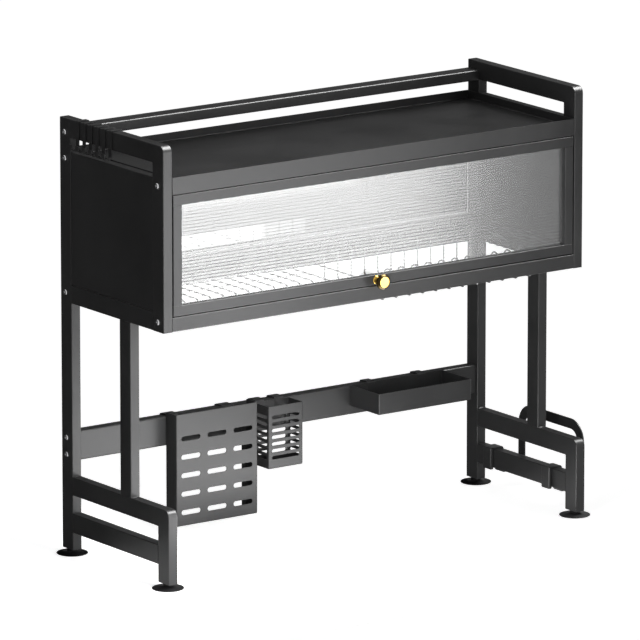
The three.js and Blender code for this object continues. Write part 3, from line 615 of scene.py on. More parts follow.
def buildScrewHead(name, centre, outward):
    # the dome is an arc from the rim to the flat middle
    reach, top = screw["head"], screw["height"]
    brim = screw["brim"]
    dome = [(reach * cos(radians(a)) ** screw["domeCurve"], brim * top + (1 - brim) * top * sin(radians(a)))
            for a in range(0, screw["domeTurn"], screw["domeStep"])]
    shank, buried = screw["shank"], screw["buried"]
    profile = [(0, -buried), (shank, -buried), (shank, 0), (reach, 0), *dome, (0, dome[-1][1])]
    piece = turned(name, profile, centre, (outward, 0, 0), screw["sides"])
    deselectAll()
    bpy.ops.mesh.primitive_cylinder_add(vertices=6, radius=screw["socket"], depth=2 * screw["socketDepth"],
                                        location=centre + Vector((outward * top, 0, 0)),
                                        rotation=(0, pi / 2, 0))
    socket = bpy.context.object
    settle(socket)
    cutAway(piece, socket)
    softenEdges(piece, screw["rim"], 2, 50)
    return piece


def screwSeat(node, outward):
    low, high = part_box(node)
    seat = (low + high) / 2
    seat.x = high.x - screw["height"] if outward > 0 else low.x + screw["height"]
    return seat


def buildScrews():
    for side, outward in (("left", -1), ("right", 1)):
        first = screwSeat(side + "_screw_1", outward)
        model = buildScrewHead(side + "Screw1", first, outward)
        others = [copyTo(model, f"{side}Screw{i}", screwSeat(f"{side}_screw_{i}", outward) - first)
                  for i in range(2, 8)]
        for i, piece in enumerate([model] + others, start=1):
            dress(piece, "frame", brightSteel, f"{side}_screw_{i}")


buildScrews()
print("screws built")


# Tray, rails and back panel

sheet = 1.2 * mm
tray = {"floor": 67.3 * mm, "fold": 1.4 * mm, "rolled": 0.45 * mm}


def buildTray():
    # a sheet pan: floor between upstanding lips, with skirts turned down below it
    low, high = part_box("top_tray")
    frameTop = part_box("left_rear_post")[1].z
    floor = frameTop - tray["floor"]
    piece = addBox("topTray", low, high)
    for up in (1, -1):
        level = high.z if up > 0 else low.z
        pickFaces(piece, lambda middle, normal: normal.z * up > 0.9 and same(middle.z, level))
        bpy.ops.mesh.inset(thickness=sheet, depth=0)
        drop = floor - high.z if up > 0 else floor - sheet - low.z
        drag((0, 0, drop))
        leaveEdit()
    # folds where the lips rise from the floor, then the rolled outer edges of lips and skirts
    bevelEdges(piece, onPlane(2, floor), tray["fold"], 3)
    softenEdges(piece, tray["rolled"], 2, 50)
    dress(piece, "frame", powderCoat, "top_tray")


rails = {"corner": 2.4 * mm, "rearCorner": 2.0 * mm, "frontCorner": 1.8 * mm, "ledgeReach": 11 * mm,
         "ledgeTop": 24 * mm, "ledgeLap": 2 * mm, "ledgeEdge": 0.5 * mm, "stopFront": 14.3 * mm,
         "stopRise": 4.5 * mm, "stopLap": 2 * mm, "stopEdge": 0.4 * mm, "panelEdge": 0.4 * mm}


def buildRails():
    for name, node in (("rearGuardRail", "rear_guard_rail"), ("crossbarTube", "crossbar")):
        dress(bar(name, *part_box(node), 0, rails["corner"]), "frame", powderCoat, node)
    # rear rail with the ledge for the wire racks in front of it
    low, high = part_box("rear_bottom_rail")
    front, top = low.y + rails["ledgeReach"], low.z + rails["ledgeTop"]
    rail = bar("rearBottomTube", (low.x, front, low.z), high, 0, rails["rearCorner"])
    lip = bar("rearLedge", (low.x, low.y, top - sheet), (high.x, front + rails["ledgeLap"], top), 0,
              rails["ledgeEdge"])
    dress(joinAll("rearBottomRail", [rail, lip]), "frame", powderCoat, "rear_bottom_rail")
    # front rail with the lip that stops the door
    low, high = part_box("front_bottom_rail")
    front, top = low.y + rails["stopFront"], high.z - rails["stopRise"]
    rail = bar("frontBottomTube", low, (high.x, high.y, top), 0, rails["frontCorner"])
    lip = bar("doorStopLip", (low.x, front, top - rails["stopLap"]), (high.x, front + sheet, high.z), 0,
              rails["stopEdge"])
    dress(joinAll("frontBottomRail", [rail, lip]), "frame", powderCoat, "front_bottom_rail")
    backSheet = addBox("backPanelSheet", *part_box("back_panel"))
    softenEdges(backSheet, rails["panelEdge"], 2, 50)
    dress(backSheet, "frame", glossPanel, "back_panel")


buildTray()
buildRails()
print("tray and rails built")


# Door

door = {"edge": 1.1 * mm, "joint": 0.35 * mm}
flute = {"pitch": 5.5 * mm, "depth": 0.2 * mm, "margin": 6 * mm, "steps": 6}


def doorMember(name, node, axis):
    # extrusion with rounded long edges and a fine eased edge at its cut ends
    low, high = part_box(node)
    dress(bar(name, low, high, axis, door["edge"], door["joint"]), "door", powderCoat, node)


def buildGlazing():
    # one flute is spun from an edge, then repeated up the sheet and closed by a flat back
    low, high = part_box("door_panel")
    height = high.z - low.z
    count = int((height - 2 * flute["margin"]) / flute["pitch"])
    margin = (height - count * flute["pitch"]) / 2
    front = low.y + flute["depth"]
    half, rise = flute["pitch"] / 2, flute["depth"]
    curve = (half * half + rise * rise) / (2 * rise)
    opening = 2 * degrees(asin(half / curve))
    start = (low.x, front, low.z + margin)
    piece = startEdge("flutedPanel", start, high.x - low.x)
    followPath(start, 90 + opening / 2, [("bend", curve, -opening, flute["steps"])])
    leaveEdit()
    applyModifier(piece, "ARRAY", count=count, use_relative_offset=False, use_constant_offset=True,
                  constant_offset_displace=(0, 0, flute["pitch"]), use_merge_vertices=True,
                  merge_threshold=near)
    top = low.z + margin + count * flute["pitch"]
    pickEdges(piece, onPlane(2, top))
    followPath((0, front, top), 90, [("run", margin)])
    for step in ((0, high.y - front, 0), (0, 0, -height), (0, front - high.y, 0), (0, 0, margin)):
        drag(step)
    bpy.ops.mesh.select_all(action="SELECT")
    bpy.ops.mesh.remove_doubles(threshold=near)
    bpy.ops.mesh.fill_holes(sides=0)
    leaveEdit()
    tidyMesh(piece)
    dress(piece, "door", glazing, "door_panel", angle=20)  # keeps the grooves between flutes crisp


knob = {"radius": 13.5 * mm, "neck": 5 * mm, "collar": 7.5 * mm, "face": 9.2 * mm, "neckEdge": 0.4 * mm,
        "faceEdge": 0.2 * mm, "rimEdge": 0.5 * mm, "sides": 48}
knobShares = {"collar": 0.1, "neckStart": 0.2, "neckEnd": 0.52, "shoulder": 0.67, "rim": 0.74, "brow": 0.84,
              "cheek": 0.94, "dish": 0.985, "face": 1.0}  # heights as shares of the knob's reach
screwBehind = {"radius": 3.6 * mm, "height": 2.2 * mm, "shank": 2 * mm, "buried": 3 * mm,
               "slotWidth": 0.7 * mm, "slotShare": 0.62, "slotDepth": 1.0 * mm, "rim": 0.2 * mm, "sides": 28}


def buildKnob():
    low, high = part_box("knob")
    reach = high.y - low.y
    seat = (low + high) / 2
    seat.y = high.y
    at = {name: reach * share for name, share in knobShares.items()}
    radius, collar, thin, flat = (knob[key] for key in ("radius", "collar", "neck", "face"))
    # bright neck and face, with a rim between them whose brass is painted dark: a painted reflection of dark
    # surroundings
    neck = [
        (0, 0), (collar * 0.94, 0), (collar, at["collar"] * 0.4), (collar * 0.86, at["collar"]),
        (thin * 1.2, at["neckStart"]), (thin, at["neckStart"] * 1.35), (thin, at["neckEnd"] * 1.02),
        (0, at["neckEnd"] * 1.02),
    ]
    rim = [
        (0, at["neckEnd"]), (thin * 0.9, at["neckEnd"]), (radius * 0.88, at["shoulder"]),
        (radius * 0.995, at["rim"]), (radius * 0.985, at["brow"]), (radius * 0.87, at["cheek"]),
        (flat, at["face"]), (flat * 0.93, at["cheek"]), (0, at["cheek"]),
    ]
    face = [(0, at["brow"]), (flat * 0.96, at["brow"]), (flat * 0.96, at["dish"]), (0, at["dish"])]
    outward, sides = (0, -1, 0), knob["sides"]
    shiny = [turned("knobNeck", neck, seat, outward, sides, knob["neckEdge"]),
             turned("knobFace", face, seat, outward, sides, knob["faceEdge"])]
    dress(joinAll("brassKnob", shiny), "door", knobBrass, "knob")
    dress(turned("knobRim", rim, seat, outward, sides, knob["rimEdge"]), "door", rimPaintedReflectionBrass)


def buildKnobScrew():
    # pan head with a cross slot, seen on the inside of the door
    low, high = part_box("knob_screw")
    radius, height = screwBehind["radius"], screwBehind["height"]
    shank, buried = screwBehind["shank"], screwBehind["buried"]
    seat = (low + high) / 2
    seat.y = high.y - height
    profile = [(0, -buried), (shank, -buried), (shank, 0), (radius, 0), (radius, height * 0.35),
               (radius * 0.7, height * 0.85), (0, height)]
    piece = turned("knobScrewHead", profile, seat, (0, 1, 0), screwBehind["sides"], screwBehind["rim"])
    top = seat + Vector((0, height, 0))
    width, long = screwBehind["slotWidth"] / 2, radius * screwBehind["slotShare"]
    for name, x, z in (("crossSlotA", long, width), ("crossSlotB", width, long)):
        half = Vector((x, screwBehind["slotDepth"], z))
        cutAway(piece, addBox(name, top - half, top + half))
    dress(piece, "door", brightSteel, "knob_screw")


for name, node, axis in (("doorTopMember", "door_top_member", 0),
                         ("doorBottomMember", "door_bottom_member", 0),
                         ("doorLeftStile", "door_left_stile", 2), ("doorRightStile", "door_right_stile", 2)):
    doorMember(name, node, axis)
buildGlazing()
buildKnob()
buildKnobScrew()
for node in ("left_hinge_pin", "right_hinge_pin"):
    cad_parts[node].data.materials.clear()
    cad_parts[node].data.materials.append(brightSteel)
print("door built")


# Wire racks

crossing = 2 * wireStock["radius"] - wireStock["sink"]


def weldDrop(name, place):
    # the small swelling where two wires are welded across each other
    deselectAll()
    bpy.ops.mesh.primitive_uv_sphere_add(segments=wireStock["dropSides"], ring_count=wireStock["dropRings"],
                                         radius=wireStock["weld"], location=place)
    piece = named(name)
    pickEdges(piece, onPlane(2, place[2]))
    bpy.ops.transform.resize(value=(wireStock["swell"], wireStock["swell"], 1), center_override=place)
    leaveEdit()
    return piece


def crossRods(label, left, right, places, level):
    # straight wires that reach past the ones they carry
    over = wireStock["overhang"]
    return [rod(f"{label}{i}", (left - over, y, level), (right + over, y, level))
            for i, y in enumerate(places)]


plateRack = {"margin": 59.4 * mm, "pitch": 27.5 * mm, "count": 12, "hump": 11 * mm, "humpRise": 7.3 * mm,
             "tipDrop": 4.5 * mm, "drop": 47 * mm, "bend": 5 * mm, "rise": 2.5 * mm, "frontGap": 53.8 * mm,
             "rearGap": 28.3 * mm, "rodInset": 30 * mm}


def buildPlateRack():
    low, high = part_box("plate_rack")
    left, right = low.x + wireStock["overhang"], high.x - wireStock["overhang"]
    seat = high.z - wireStock["radius"] - plateRack["humpRise"]
    base = seat - plateRack["drop"]
    legY = low.y + plateRack["frontGap"]
    rearY = high.y - plateRack["rearGap"]
    bend, hump = plateRack["bend"], plateRack["hump"]
    humpCentre = seat + plateRack["humpRise"] - hump
    firstX = left + plateRack["margin"]
    start = Vector((firstX, legY - 2 * hump, seat - plateRack["tipDrop"]))
    moves = [
        ("run", humpCentre - start.z),
        ("bend", hump, -180, 14),
        ("run", humpCentre - base - bend),
        ("bend", bend, 90, 6),
        ("run", rearY - legY - 2 * bend),
        ("bend", bend, 90, 6),
        ("run", seat + plateRack["rise"] - base - bend),
    ]
    model = wire("plateDivider1", start, 90, moves)
    pitch, count = plateRack["pitch"], plateRack["count"]
    dividers = [model] + [copyTo(model, f"plateDivider{i + 1}", (i * pitch, 0, 0)) for i in range(1, count)]
    lastX = firstX + (count - 1) * pitch
    for i, piece in enumerate(dividers, start=1):
        dress(piece, "plate_rack", wirePaintedLightCoat, "plate_rack")
    frontRod, rearRod = start.y - crossing, rearY + crossing
    baseRods = [legY + plateRack["rodInset"], rearY - plateRack["rodInset"]]
    rods = crossRods("plateRod", left, right, (frontRod, rearRod), seat - crossing)
    rods += crossRods("plateBaseRod", firstX, lastX, baseRods, base + crossing)
    rods += [rod(f"plateEndWire{i}", (x, low.y, seat), (x, high.y, seat), 1)
             for i, x in enumerate((left, right))]
    drops = []
    for i in range(count):
        x = firstX + i * pitch
        for k, (y, z) in enumerate([(baseRods[0], base + crossing / 2), (baseRods[1], base + crossing / 2),
                                    ((rearY + rearRod) / 2, seat - crossing),
                                    ((start.y + frontRod) / 2, seat - crossing)]):
            drops.append(weldDrop(f"plateWeld{i}_{k}", (x, y, z)))
    drops += [weldDrop(f"plateEndWeld{i}_{k}", (x, y, seat - crossing / 2))
              for i, x in enumerate((left, right)) for k, y in enumerate((frontRod, rearRod))]
    dress(joinAll("plateRackRods", rods), "plate_rack", wirePaintedLightCoat, "plate_rack")
    dress(joinAll("plateRackWelds", drops), "plate_rack", wirePaintedLightCoat)


bowlRack = {"pitch": 25.7 * mm, "drop": 7.8 * mm, "rearGap": 41 * mm, "reach": 116 * mm, "curl": 4.7 * mm,
            "curlTurn": 150, "rodInset": 2 * mm, "rodSpacing": 55.5 * mm, "ramp": 12 * mm, "bend": 7 * mm}


def bowlEndWire(name, x, low, high, seat):
    # seated at both ends, with a lower middle between two ramps
    ramp, drop, bend = bowlRack["ramp"], bowlRack["drop"], bowlRack["bend"]
    angle = degrees(atan2(drop, ramp))
    ease = easeOf(bend, angle)
    end = [("run", ramp - ease), ("bend", bend, -angle, 4), ("run", hypot(ramp, drop) - 2 * ease),
           ("bend", bend, angle, 4)]
    middle = ("run", high - low - 4 * ramp - 2 * ease)
    return wire(name, (x, low, seat), 0, [*end, middle, *reversed(end)])


def buildBowlRack():
    low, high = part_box("bowl_rack")
    left, right = low.x + wireStock["overhang"], high.x - wireStock["overhang"]
    seat = high.z - wireStock["radius"]
    level = seat - bowlRack["drop"]
    rearY = high.y - bowlRack["rearGap"]
    pitch = bowlRack["pitch"]
    count = round((right - left) / pitch) - 1
    straight = bowlRack["reach"] - bowlRack["curl"]
    moves = [("run", straight), ("bend", bowlRack["curl"], bowlRack["curlTurn"], 12)]
    model = wire("bowlWire1", (left + pitch, rearY, level), 180, moves)
    wires = [model] + [copyTo(model, f"bowlWire{i + 1}", (i * pitch, 0, 0)) for i in range(1, count)]
    for piece in wires:
        dress(piece, "bowl_rack", wirePaintedLightCoat, "bowl_rack")
    ends = [bowlEndWire(f"bowlEndWire{i}", x, low.y, high.y, seat) for i, x in enumerate((left, right))]
    rearRod = rearY - bowlRack["rodInset"]
    rodYs = (rearRod, rearRod - bowlRack["rodSpacing"])
    rods = crossRods("bowlRod", left, right, rodYs, level - crossing)
    drops = [weldDrop(f"bowlWeld{i}_{k}", (left + i * pitch, y, level - crossing / 2))
             for i in range(count + 2) for k, y in enumerate(rodYs)]
    dress(joinAll("bowlRackRods", rods + ends), "bowl_rack", wirePaintedLightCoat, "bowl_rack")
    dress(joinAll("bowlRackWelds", drops), "bowl_rack", wirePaintedLightCoat)


buildPlateRack()
buildBowlRack()
print("wire racks built")


# Hanging baskets

hookStock = {"thickness": 1.6 * mm, "drop": 22 * mm, "arch": 2 * mm, "inset": 4.5 * mm, "gap": 0.3 * mm,
             "shoulder": 0.8 * mm, "bend": 1.2 * mm, "edge": 0.3 * mm}
fold = {"outer": 2.0 * mm, "rim": 0.35 * mm, "cut": 6 * mm, "over": 5 * mm}


def crossbarHook(name, x, width, rearFace):
    # rises on the basket's rear face, arches over the crossbar and drops behind it
    barLow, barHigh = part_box("crossbar")
    half = hookStock["thickness"] / 2
    start = Vector((x, rearFace - half, barHigh.z - hookStock["drop"]))
    span = barHigh.y - barLow.y + 2 * hookStock["gap"] + 2 * half
    inset = hookStock["inset"] + half
    rise = hookStock["arch"] - hookStock["shoulder"]
    angle = degrees(atan2(rise, inset))
    lean = 90 - angle
    bend = hookStock["bend"]
    easeFoot, easeTop = easeOf(bend, lean), easeOf(bend, angle)
    slope = hypot(inset, rise) - easeFoot - easeTop
    leg = hookStock["drop"] + hookStock["shoulder"] - easeFoot
    end = [("run", leg), ("bend", bend, -lean, 4), ("run", slope), ("bend", bend, -angle, 4)]
    moves = [*end, ("run", span - 2 * inset - 2 * easeTop), *reversed(end)]
    return strap(name, width, start, 90, moves, hookStock["thickness"], "yz", hookStock["edge"])


def hangUp(label, body, basket, low, high, rearFace):
    width = basket["hookWidth"]
    places = (low.x + basket["hookLeft"], high.x - basket["hookRight"] - width)
    for i, x in enumerate(places, start=1):
        dress(crossbarHook(f"{label}{i}", x, width, rearFace), body, powderCoat)


def basketShell(name, low, high):
    # folded sheet box, open on top, with rounded folds
    piece = addBox(name, low, high)
    rim = onPlane(2, high.z)
    bevelEdges(piece, lambda a, b: not rim(a, b), fold["outer"], 3)
    pickFaces(piece, lambda middle, normal: normal.z > 0.9 and same(middle.z, high.z))
    bpy.ops.mesh.inset(thickness=sheet, depth=0)
    drag((0, 0, low[2] + sheet - high[2]))
    leaveEdit()
    return piece


def slotCutter(name, middle, width, height, deep, axis):
    # a level slot with round ends; axis 1 goes through a front wall, axis 0 through a side wall
    across, through = (width, deep) if axis == 1 else (deep, width)
    half = Vector((across, through, height)) / 2
    piece = addBox(name, middle - half, middle + half)
    bevelEdges(piece, alongAxis(axis), height * 0.499, 8)
    return piece


board = {"depth": 31.2 * mm, "return": 11 * mm, "rim": 22 * mm, "slotHeight": 8.4 * mm, "edge": 10.4 * mm,
         "gap": 14.2 * mm, "columns": 3, "rows": 5, "lowSlot": 23.1 * mm, "highSlot": 41.8 * mm,
         "hookWidth": 22 * mm, "hookLeft": 3 * mm, "hookRight": 29 * mm}


def buildBoardRack():
    low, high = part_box("board_rack")
    barLow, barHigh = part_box("crossbar")
    rear = low.y + board["depth"]
    shell = basketShell("boardRackShell", low, Vector((high.x, rear, high.z)))
    width, height = high.x - low.x, high.z - low.z
    pitchX = (width - 2 * board["edge"] + board["gap"]) / board["columns"]
    pitchZ = (height - board["lowSlot"] - board["highSlot"]) / (board["rows"] - 1)
    slotWidth = pitchX - board["gap"]
    first = Vector((low.x + board["edge"] + slotWidth / 2, low.y, low.z + board["lowSlot"]))
    model = slotCutter("boardSlot", first, slotWidth, board["slotHeight"], fold["cut"], 1)
    cutters = [model] + [copyTo(model, f"boardSlot{i}_{k}", (i * pitchX, 0, k * pitchZ))
                         for i in range(board["columns"]) for k in range(board["rows"]) if i or k]
    cutAway(shell, joinAll("boardSlots", cutters))
    over = fold["over"]
    cutAway(shell, addBox("boardBack", (low.x + board["return"], rear - over, low.z + sheet),
                          (high.x - board["return"], rear + over, barHigh.z - board["rim"])))
    cutAway(shell, addBox("boardAbove", (low.x + sheet, rear - over, barHigh.z),
                          (high.x - sheet, rear + over, high.z + over)))
    softenEdges(shell, fold["rim"], 2, 60)
    dress(shell, "board_rack", powderCoat, "board_rack")
    hangUp("boardHook", "board_rack", board, low, high, rear)


cup = {"depth": 41.2 * mm, "height": 107.4 * mm, "slotHeight": 6.2 * mm, "rows": 7, "lowSlot": 19.1 * mm,
       "highSlot": 18.7 * mm, "corner": 7.2 * mm, "sideCorner": 5 * mm, "hookWidth": 18.5 * mm,
       "hookLeft": 1 * mm, "hookRight": 12 * mm}


def buildCup():
    low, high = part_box("utensil_cup")
    rear = low.y + cup["depth"]
    top = low.z + cup["height"]
    shell = basketShell("utensilCupShell", low, Vector((high.x, rear, top)))
    width = high.x - low.x
    pitch = (cup["height"] - cup["lowSlot"] - cup["highSlot"]) / (cup["rows"] - 1)
    middle = Vector(((low.x + high.x) / 2, low.y, low.z + cup["lowSlot"]))
    frontSlot = slotCutter("cupFrontSlot", middle, width - 2 * cup["corner"], cup["slotHeight"],
                           fold["cut"], 1)
    sideMiddle = Vector((middle.x, (low.y + rear) / 2, middle.z))
    sideSlot = slotCutter("cupSideSlot", sideMiddle, cup["depth"] - 2 * cup["sideCorner"], cup["slotHeight"],
                          width + fold["cut"], 0)
    cutters = [frontSlot, sideSlot]
    for k in range(cup["rows"]):
        if k:
            cutters.append(copyTo(frontSlot, f"cupFrontSlot{k}", (0, 0, k * pitch)))
            cutters.append(copyTo(sideSlot, f"cupSideSlot{k}", (0, 0, k * pitch)))
        # the top row's back stays whole under the hooks
        if k < cup["rows"] - 1:
            cutters.append(copyTo(frontSlot, f"cupBackSlot{k}", (0, cup["depth"], k * pitch)))
    cutAway(shell, joinAll("cupSlots", cutters))
    softenEdges(shell, fold["rim"], 2, 60)
    dress(shell, "utensil_cup", powderCoat, "utensil_cup")
    hangUp("cupHook", "utensil_cup", cup, low, high, rear)


longTray = {"depth": 84.7 * mm, "height": 36.4 * mm, "hookWidth": 15 * mm, "hookLeft": 36.4 * mm,
            "hookRight": 36.4 * mm}


def buildLongTray():
    low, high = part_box("long_tray")
    rear = low.y + longTray["depth"]
    shell = basketShell("longTrayShell", low, Vector((high.x, rear, low.z + longTray["height"])))
    softenEdges(shell, fold["rim"], 2, 60)
    dress(shell, "long_tray", powderCoat, "long_tray")
    hangUp("longTrayHook", "long_tray", longTray, low, high, rear)


buildBoardRack()
buildCup()
buildLongTray()
print("baskets built")


# Board holder on the right low rail, and the small hooks on the left top rail

holder = {"sheet": 2.5 * mm, "pad": 6.7 * mm, "padDrop": 35.5 * mm, "strap": 22 * mm, "legDrop": 43.5 * mm,
          "gap": 0.3 * mm, "ring": 18 * mm, "bend": 36 * mm, "inset": 2 * mm, "fold": 2.6 * mm,
          "lap": 1 * mm, "strapEdge": 0.5 * mm, "padEdge": 1.6 * mm, "padEnd": 1.2 * mm,
          "ringEdge": 0.6 * mm}


def holderStrap(name, y):
    # from the pad's top over the rail, down its outer face and out to the loop
    low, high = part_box("board_holder")
    railLow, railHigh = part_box("right_foot_rail")
    half, bend = holder["sheet"] / 2, holder["fold"]
    top = railHigh.z + holder["gap"] + half
    outer = railHigh.x + holder["gap"] + half
    foot = railHigh.z - holder["legDrop"] + half
    start = Vector((low.x + holder["lap"], y, top))
    moves = [
        ("run", outer - bend - start.x), ("bend", bend, -90, 5),
        ("run", top - foot - 2 * bend), ("bend", bend, 90, 5),
        ("run", high.x - holder["lap"] - outer - bend),
    ]
    piece = strap(name, holder["strap"], start, 0, moves, holder["sheet"], "xz", holder["strapEdge"])
    pad = bar(name + "Pad", (low.x, y, railHigh.z - holder["padDrop"]),
              (low.x + holder["pad"], y + holder["strap"], top + half), 2, holder["padEdge"],
              holder["padEnd"])
    return joinAll(name, [piece, pad])


def holderLoop():
    # flat ring section dragged up, across and down again
    low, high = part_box("board_holder")
    ring, bend, inset = holder["ring"], holder["bend"], holder["inset"]
    front, rear = low.y + inset, high.y - inset
    middleBend = bend - ring / 2
    piece = addBox("holderLoop", (high.x - holder["sheet"], front, low.z),
                   (high.x, front + ring, low.z + holder["sheet"]))
    start = Vector((high.x, front + ring / 2, low.z + holder["sheet"]))
    pickFaces(piece, lambda middle, normal: normal.z > 0.9)
    rise = high.z - bend - start.z
    followPath(start, 90, [
        ("run", rise), ("bend", middleBend, -90, 10), ("run", rear - front - 2 * bend),
        ("bend", middleBend, -90, 10), ("run", high.z - bend - low.z),
    ])
    leaveEdit()
    tidyMesh(piece)
    softenEdges(piece, holder["ringEdge"], 3, 50)
    return piece


def buildHolder():
    low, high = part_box("board_holder")
    dress(holderStrap("holderFrontStrap", low.y), "board_holder", powderCoat, "board_holder")
    dress(holderStrap("holderRearStrap", high.y - holder["strap"]), "board_holder", powderCoat)
    dress(holderLoop(), "board_holder", powderCoat)


peg = {"sheet": 1.5 * mm, "width": 9 * mm, "inner": 15 * mm, "drop": 39.5 * mm, "curl": 7.3 * mm,
       "tip": 4 * mm, "gap": 0.3 * mm, "fold": 1.9 * mm, "edge": 0.35 * mm, "count": 6}


def buildRailHooks():
    railLow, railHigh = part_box("left_top_hoop")
    half, bend = peg["sheet"] / 2, peg["fold"]
    for i in range(1, peg["count"] + 1):
        node = f"rail_hook_{i}"
        low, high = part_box(node)
        innerX = railHigh.x + peg["gap"] + half
        outerX = railLow.x - peg["gap"] - half
        top = railHigh.z + peg["gap"] + half
        start = Vector((innerX, low.y, railHigh.z - peg["inner"]))
        curlZ = railHigh.z - peg["drop"]
        moves = [
            ("run", top - start.z - bend), ("bend", bend, 90, 5),
            ("run", innerX - outerX - 2 * bend), ("bend", bend, 90, 5),
            ("run", top - bend - curlZ), ("bend", peg["curl"], -180, 14), ("run", peg["tip"]),
        ]
        piece = strap(f"railHook{i}", peg["width"], start, 90, moves, peg["sheet"], "xz", peg["edge"])
        dress(piece, node, powderCoat, node)


buildHolder()
buildRailHooks()
print("holder and hooks built")


# Feet

foot = {"rim": 1.4 * mm, "cone": 4.5 * mm, "boss": 8.5 * mm, "top": 8.7 * mm,
        "stem": 4 * mm, "stemLength": 26 * mm, "thread": 1.25 * mm, "threadDepth": 0.45 * mm,
        "shoulder": 0.6 * mm, "sides": 40}


def footProfile(radius):
    brim = radius * 0.985
    points = [(0, 0), (radius * 0.97, 0), (radius, foot["rim"] * 0.5), (brim, foot["rim"])]
    # a shallow cone that curves up into the boss
    for share in (0.25, 0.5, 0.75, 1.0):
        r = brim + (foot["boss"] - brim) * share
        points.append((r, foot["rim"] + (foot["cone"] - foot["rim"]) * share ** 1.5))
    points += [(foot["boss"], foot["top"] - foot["shoulder"]), (foot["boss"] * 0.92, foot["top"])]
    turns = int(foot["stemLength"] / foot["thread"]) - 1
    for i in range(turns):
        z = foot["top"] + i * foot["thread"]
        points += [(foot["stem"] - foot["threadDepth"], z), (foot["stem"], z + foot["thread"] / 2)]
    end = foot["top"] + foot["stemLength"]
    points += [(foot["stem"] - foot["threadDepth"], end), (0, end)]
    return points


def footSeat(node):
    low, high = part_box(node)
    seat = (low + high) / 2
    seat.z = low.z
    return seat, (high.x - low.x) / 2


def buildFeet():
    home, radius = footSeat("left_rear_foot")
    model = turned("leftRearFoot", footProfile(radius), home, (0, 0, 1), foot["sides"])
    others = [(copyTo(model, label, footSeat(node)[0] - home), node) for label, node in (
        ("leftFrontFoot", "left_front_foot"), ("rightRearFoot", "right_rear_foot"),
        ("rightFrontFoot", "right_front_foot"))]
    for piece, node in [(model, "left_rear_foot")] + others:
        dress(piece, node, footPlastic, node)


buildFeet()
print("feet built")


# Studio

studio = {
    "cameraPlace": (-7.97335, -11.1579, 3.5442),
    "cameraTurn": (76.947, 0.0, -35.451),
    "lens": 475.84,
    "floorSize": 60.0,
    "floorLevel": -0.0004,
    "floorTone": 0.8,
    "floorGlow": 0.74,  # what the floor adds for the camera and mirrors, so that it shows white
    "worldLevel": 0.35,  # the world's strength for soft light; it is 1 for the camera and mirrors
}


def backgroundRays(tree, x, y):
    # 1 for rays from the camera, a mirror or clear glazing, 0 for soft light
    rays = addNode(tree, "ShaderNodeLightPath", x, y)
    first = addNode(tree, "ShaderNodeMath", x + 200, y, operation="MAXIMUM")
    second = addNode(tree, "ShaderNodeMath", x + 400, y, operation="MAXIMUM")
    connect(tree, (rays, "Is Camera Ray", first, 0), (rays, "Is Glossy Ray", first, 1),
            (first, "Value", second, 0), (rays, "Is Transmission Ray", second, 1))
    return second.outputs["Value"]


def buildWorld():
    world = bpy.data.worlds.new("studioWorld")
    bpy.context.scene.world = world
    world.use_nodes = True
    tree = world.node_tree
    tree.nodes.clear()
    level = addRange(tree, 0, 0, studio["worldLevel"], 1.0)
    background = addNode(tree, "ShaderNodeBackground", 200, 0, {"Color": (1, 1, 1, 1)})
    output = addNode(tree, "ShaderNodeOutputWorld", 400, 0)
    tree.links.new(backgroundRays(tree, -600, 0), level.inputs["Value"])
    connect(tree, (level, "Result", background, "Strength"),
            (background, "Background", output, "Surface"))


def buildFloor():
    deselectAll()
    bpy.ops.mesh.primitive_plane_add(size=studio["floorSize"], location=(0, 0, studio["floorLevel"]))
    floor = bpy.context.object
    floor.name = "studioFloor"
    material = bpy.data.materials.new("studioFloor")
    material.use_nodes = True
    tree = material.node_tree
    shader = tree.nodes["Principled BSDF"]
    setInputs(shader, {"Base Color": (*[studio["floorTone"]] * 3, 1), "Roughness": 0.9,
                       "Specular IOR Level": 0.0, "Emission Color": (1, 1, 1, 1)})
    lift = addNode(tree, "ShaderNodeMath", -100, -300, {1: studio["floorGlow"]}, operation="MULTIPLY")
    tree.links.new(backgroundRays(tree, -800, -300), lift.inputs[0])
    connect(tree, (lift, "Value", shader, "Emission Strength"))
    floor.data.materials.append(material)


def addSoftbox(name, place, aim, size, power, soft=True, mirrored=True):
    deselectAll()
    place, aim = Vector(place), Vector(aim)
    bpy.ops.object.light_add(type="AREA", location=place,
                             rotation=(aim - place).to_track_quat("-Z", "Y").to_euler())
    lamp = bpy.context.object
    lamp.name = name
    lamp.data.shape = "RECTANGLE"
    lamp.data.size, lamp.data.size_y = size
    lamp.data.energy = power
    lamp.visible_camera = False
    lamp.visible_transmission = False
    lamp.visible_diffuse = soft
    lamp.visible_glossy = mirrored


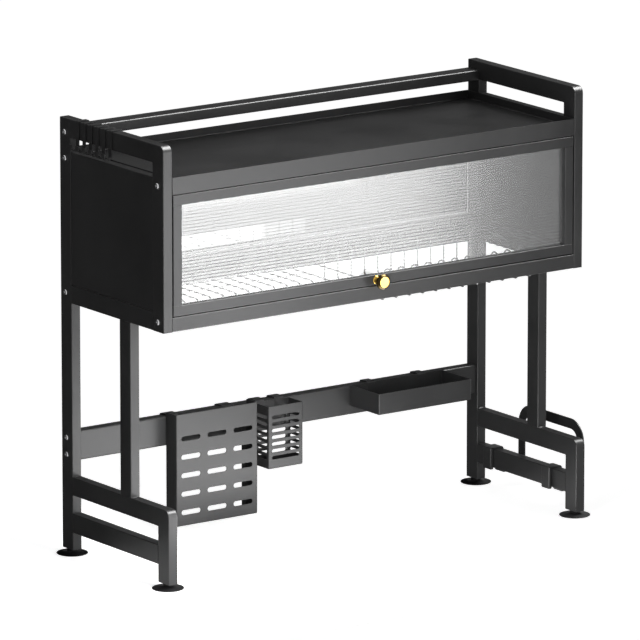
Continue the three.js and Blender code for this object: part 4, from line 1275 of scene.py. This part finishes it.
def addCard(name, place, normal, size, tone):
    # a grey card that only reflections see, so that the dark paint stays dark
    deselectAll()
    bpy.ops.mesh.primitive_plane_add(size=1, location=place,
                                     rotation=Vector(normal).to_track_quat("Z", "Y").to_euler())
    card = bpy.context.object
    card.name = name
    card.scale = (*size, 1)
    material = bpy.data.materials.new(name)
    material.use_nodes = True
    shader = material.node_tree.nodes["Principled BSDF"]
    setInputs(shader, {"Base Color": (tone, tone, tone, 1), "Roughness": 1.0})
    card.data.materials.append(material)
    card.visible_camera = card.visible_diffuse = card.visible_shadow = False
    card.visible_transmission = False


def buildCamera():
    deselectAll()
    bpy.ops.object.camera_add(location=studio["cameraPlace"],
                              rotation=[radians(a) for a in studio["cameraTurn"]])
    camera = bpy.context.object
    camera.name = "photoCamera"
    camera.data.lens = studio["lens"]
    camera.data.sensor_width = 36.0
    camera.data.clip_end = 200.0
    bpy.context.scene.camera = camera


buildWorld()
buildFloor()
addSoftbox("frontSoftbox", (0.393, -1.4165, 0.52), (-0.1, 0.0, 0.5), (1.14, 0.9), 19.6, soft=False)
addSoftbox("leftSoftbox", (-0.34, -0.5, 0.3), (-0.34, 0.0, 0.3), (0.16, 0.72), 6.6, mirrored=False)
addSoftbox("floorSoftbox", (0.04, -0.36, 0.002), (0.04, -0.36, 1.0), (0.56, 0.56), 11.5, soft=False)
addSoftbox("topSoftbox", (1.12, -0.6, 2.3), (0.9, -0.5, 0.6), (1.7, 1.5), 360, soft=False)
addCard("leftCard", (-0.96, 0.71, 0.62), (0.565, -0.794, 0.0), (2.4, 1.2), 0.05)
addCard("leftFloorCard", (-0.6, 0.9, 0.003), (0.0, 0.0, 1.0), (2.3, 1.6), 0.03)
addCard("frontCard", (1.85, -1.12, 0.56), (-0.2, 1.0, 0.0), (1.6, 1.1), 0.2)
addCard("rearCard", (0.62, 0.87, 0.95), (-0.565, -0.794, 0.0), (3.0, 1.5), 0.15)
buildCamera()
bpy.context.scene.view_settings.view_transform = "Standard"
print("studio built")

bpy.context.view_layer.update()
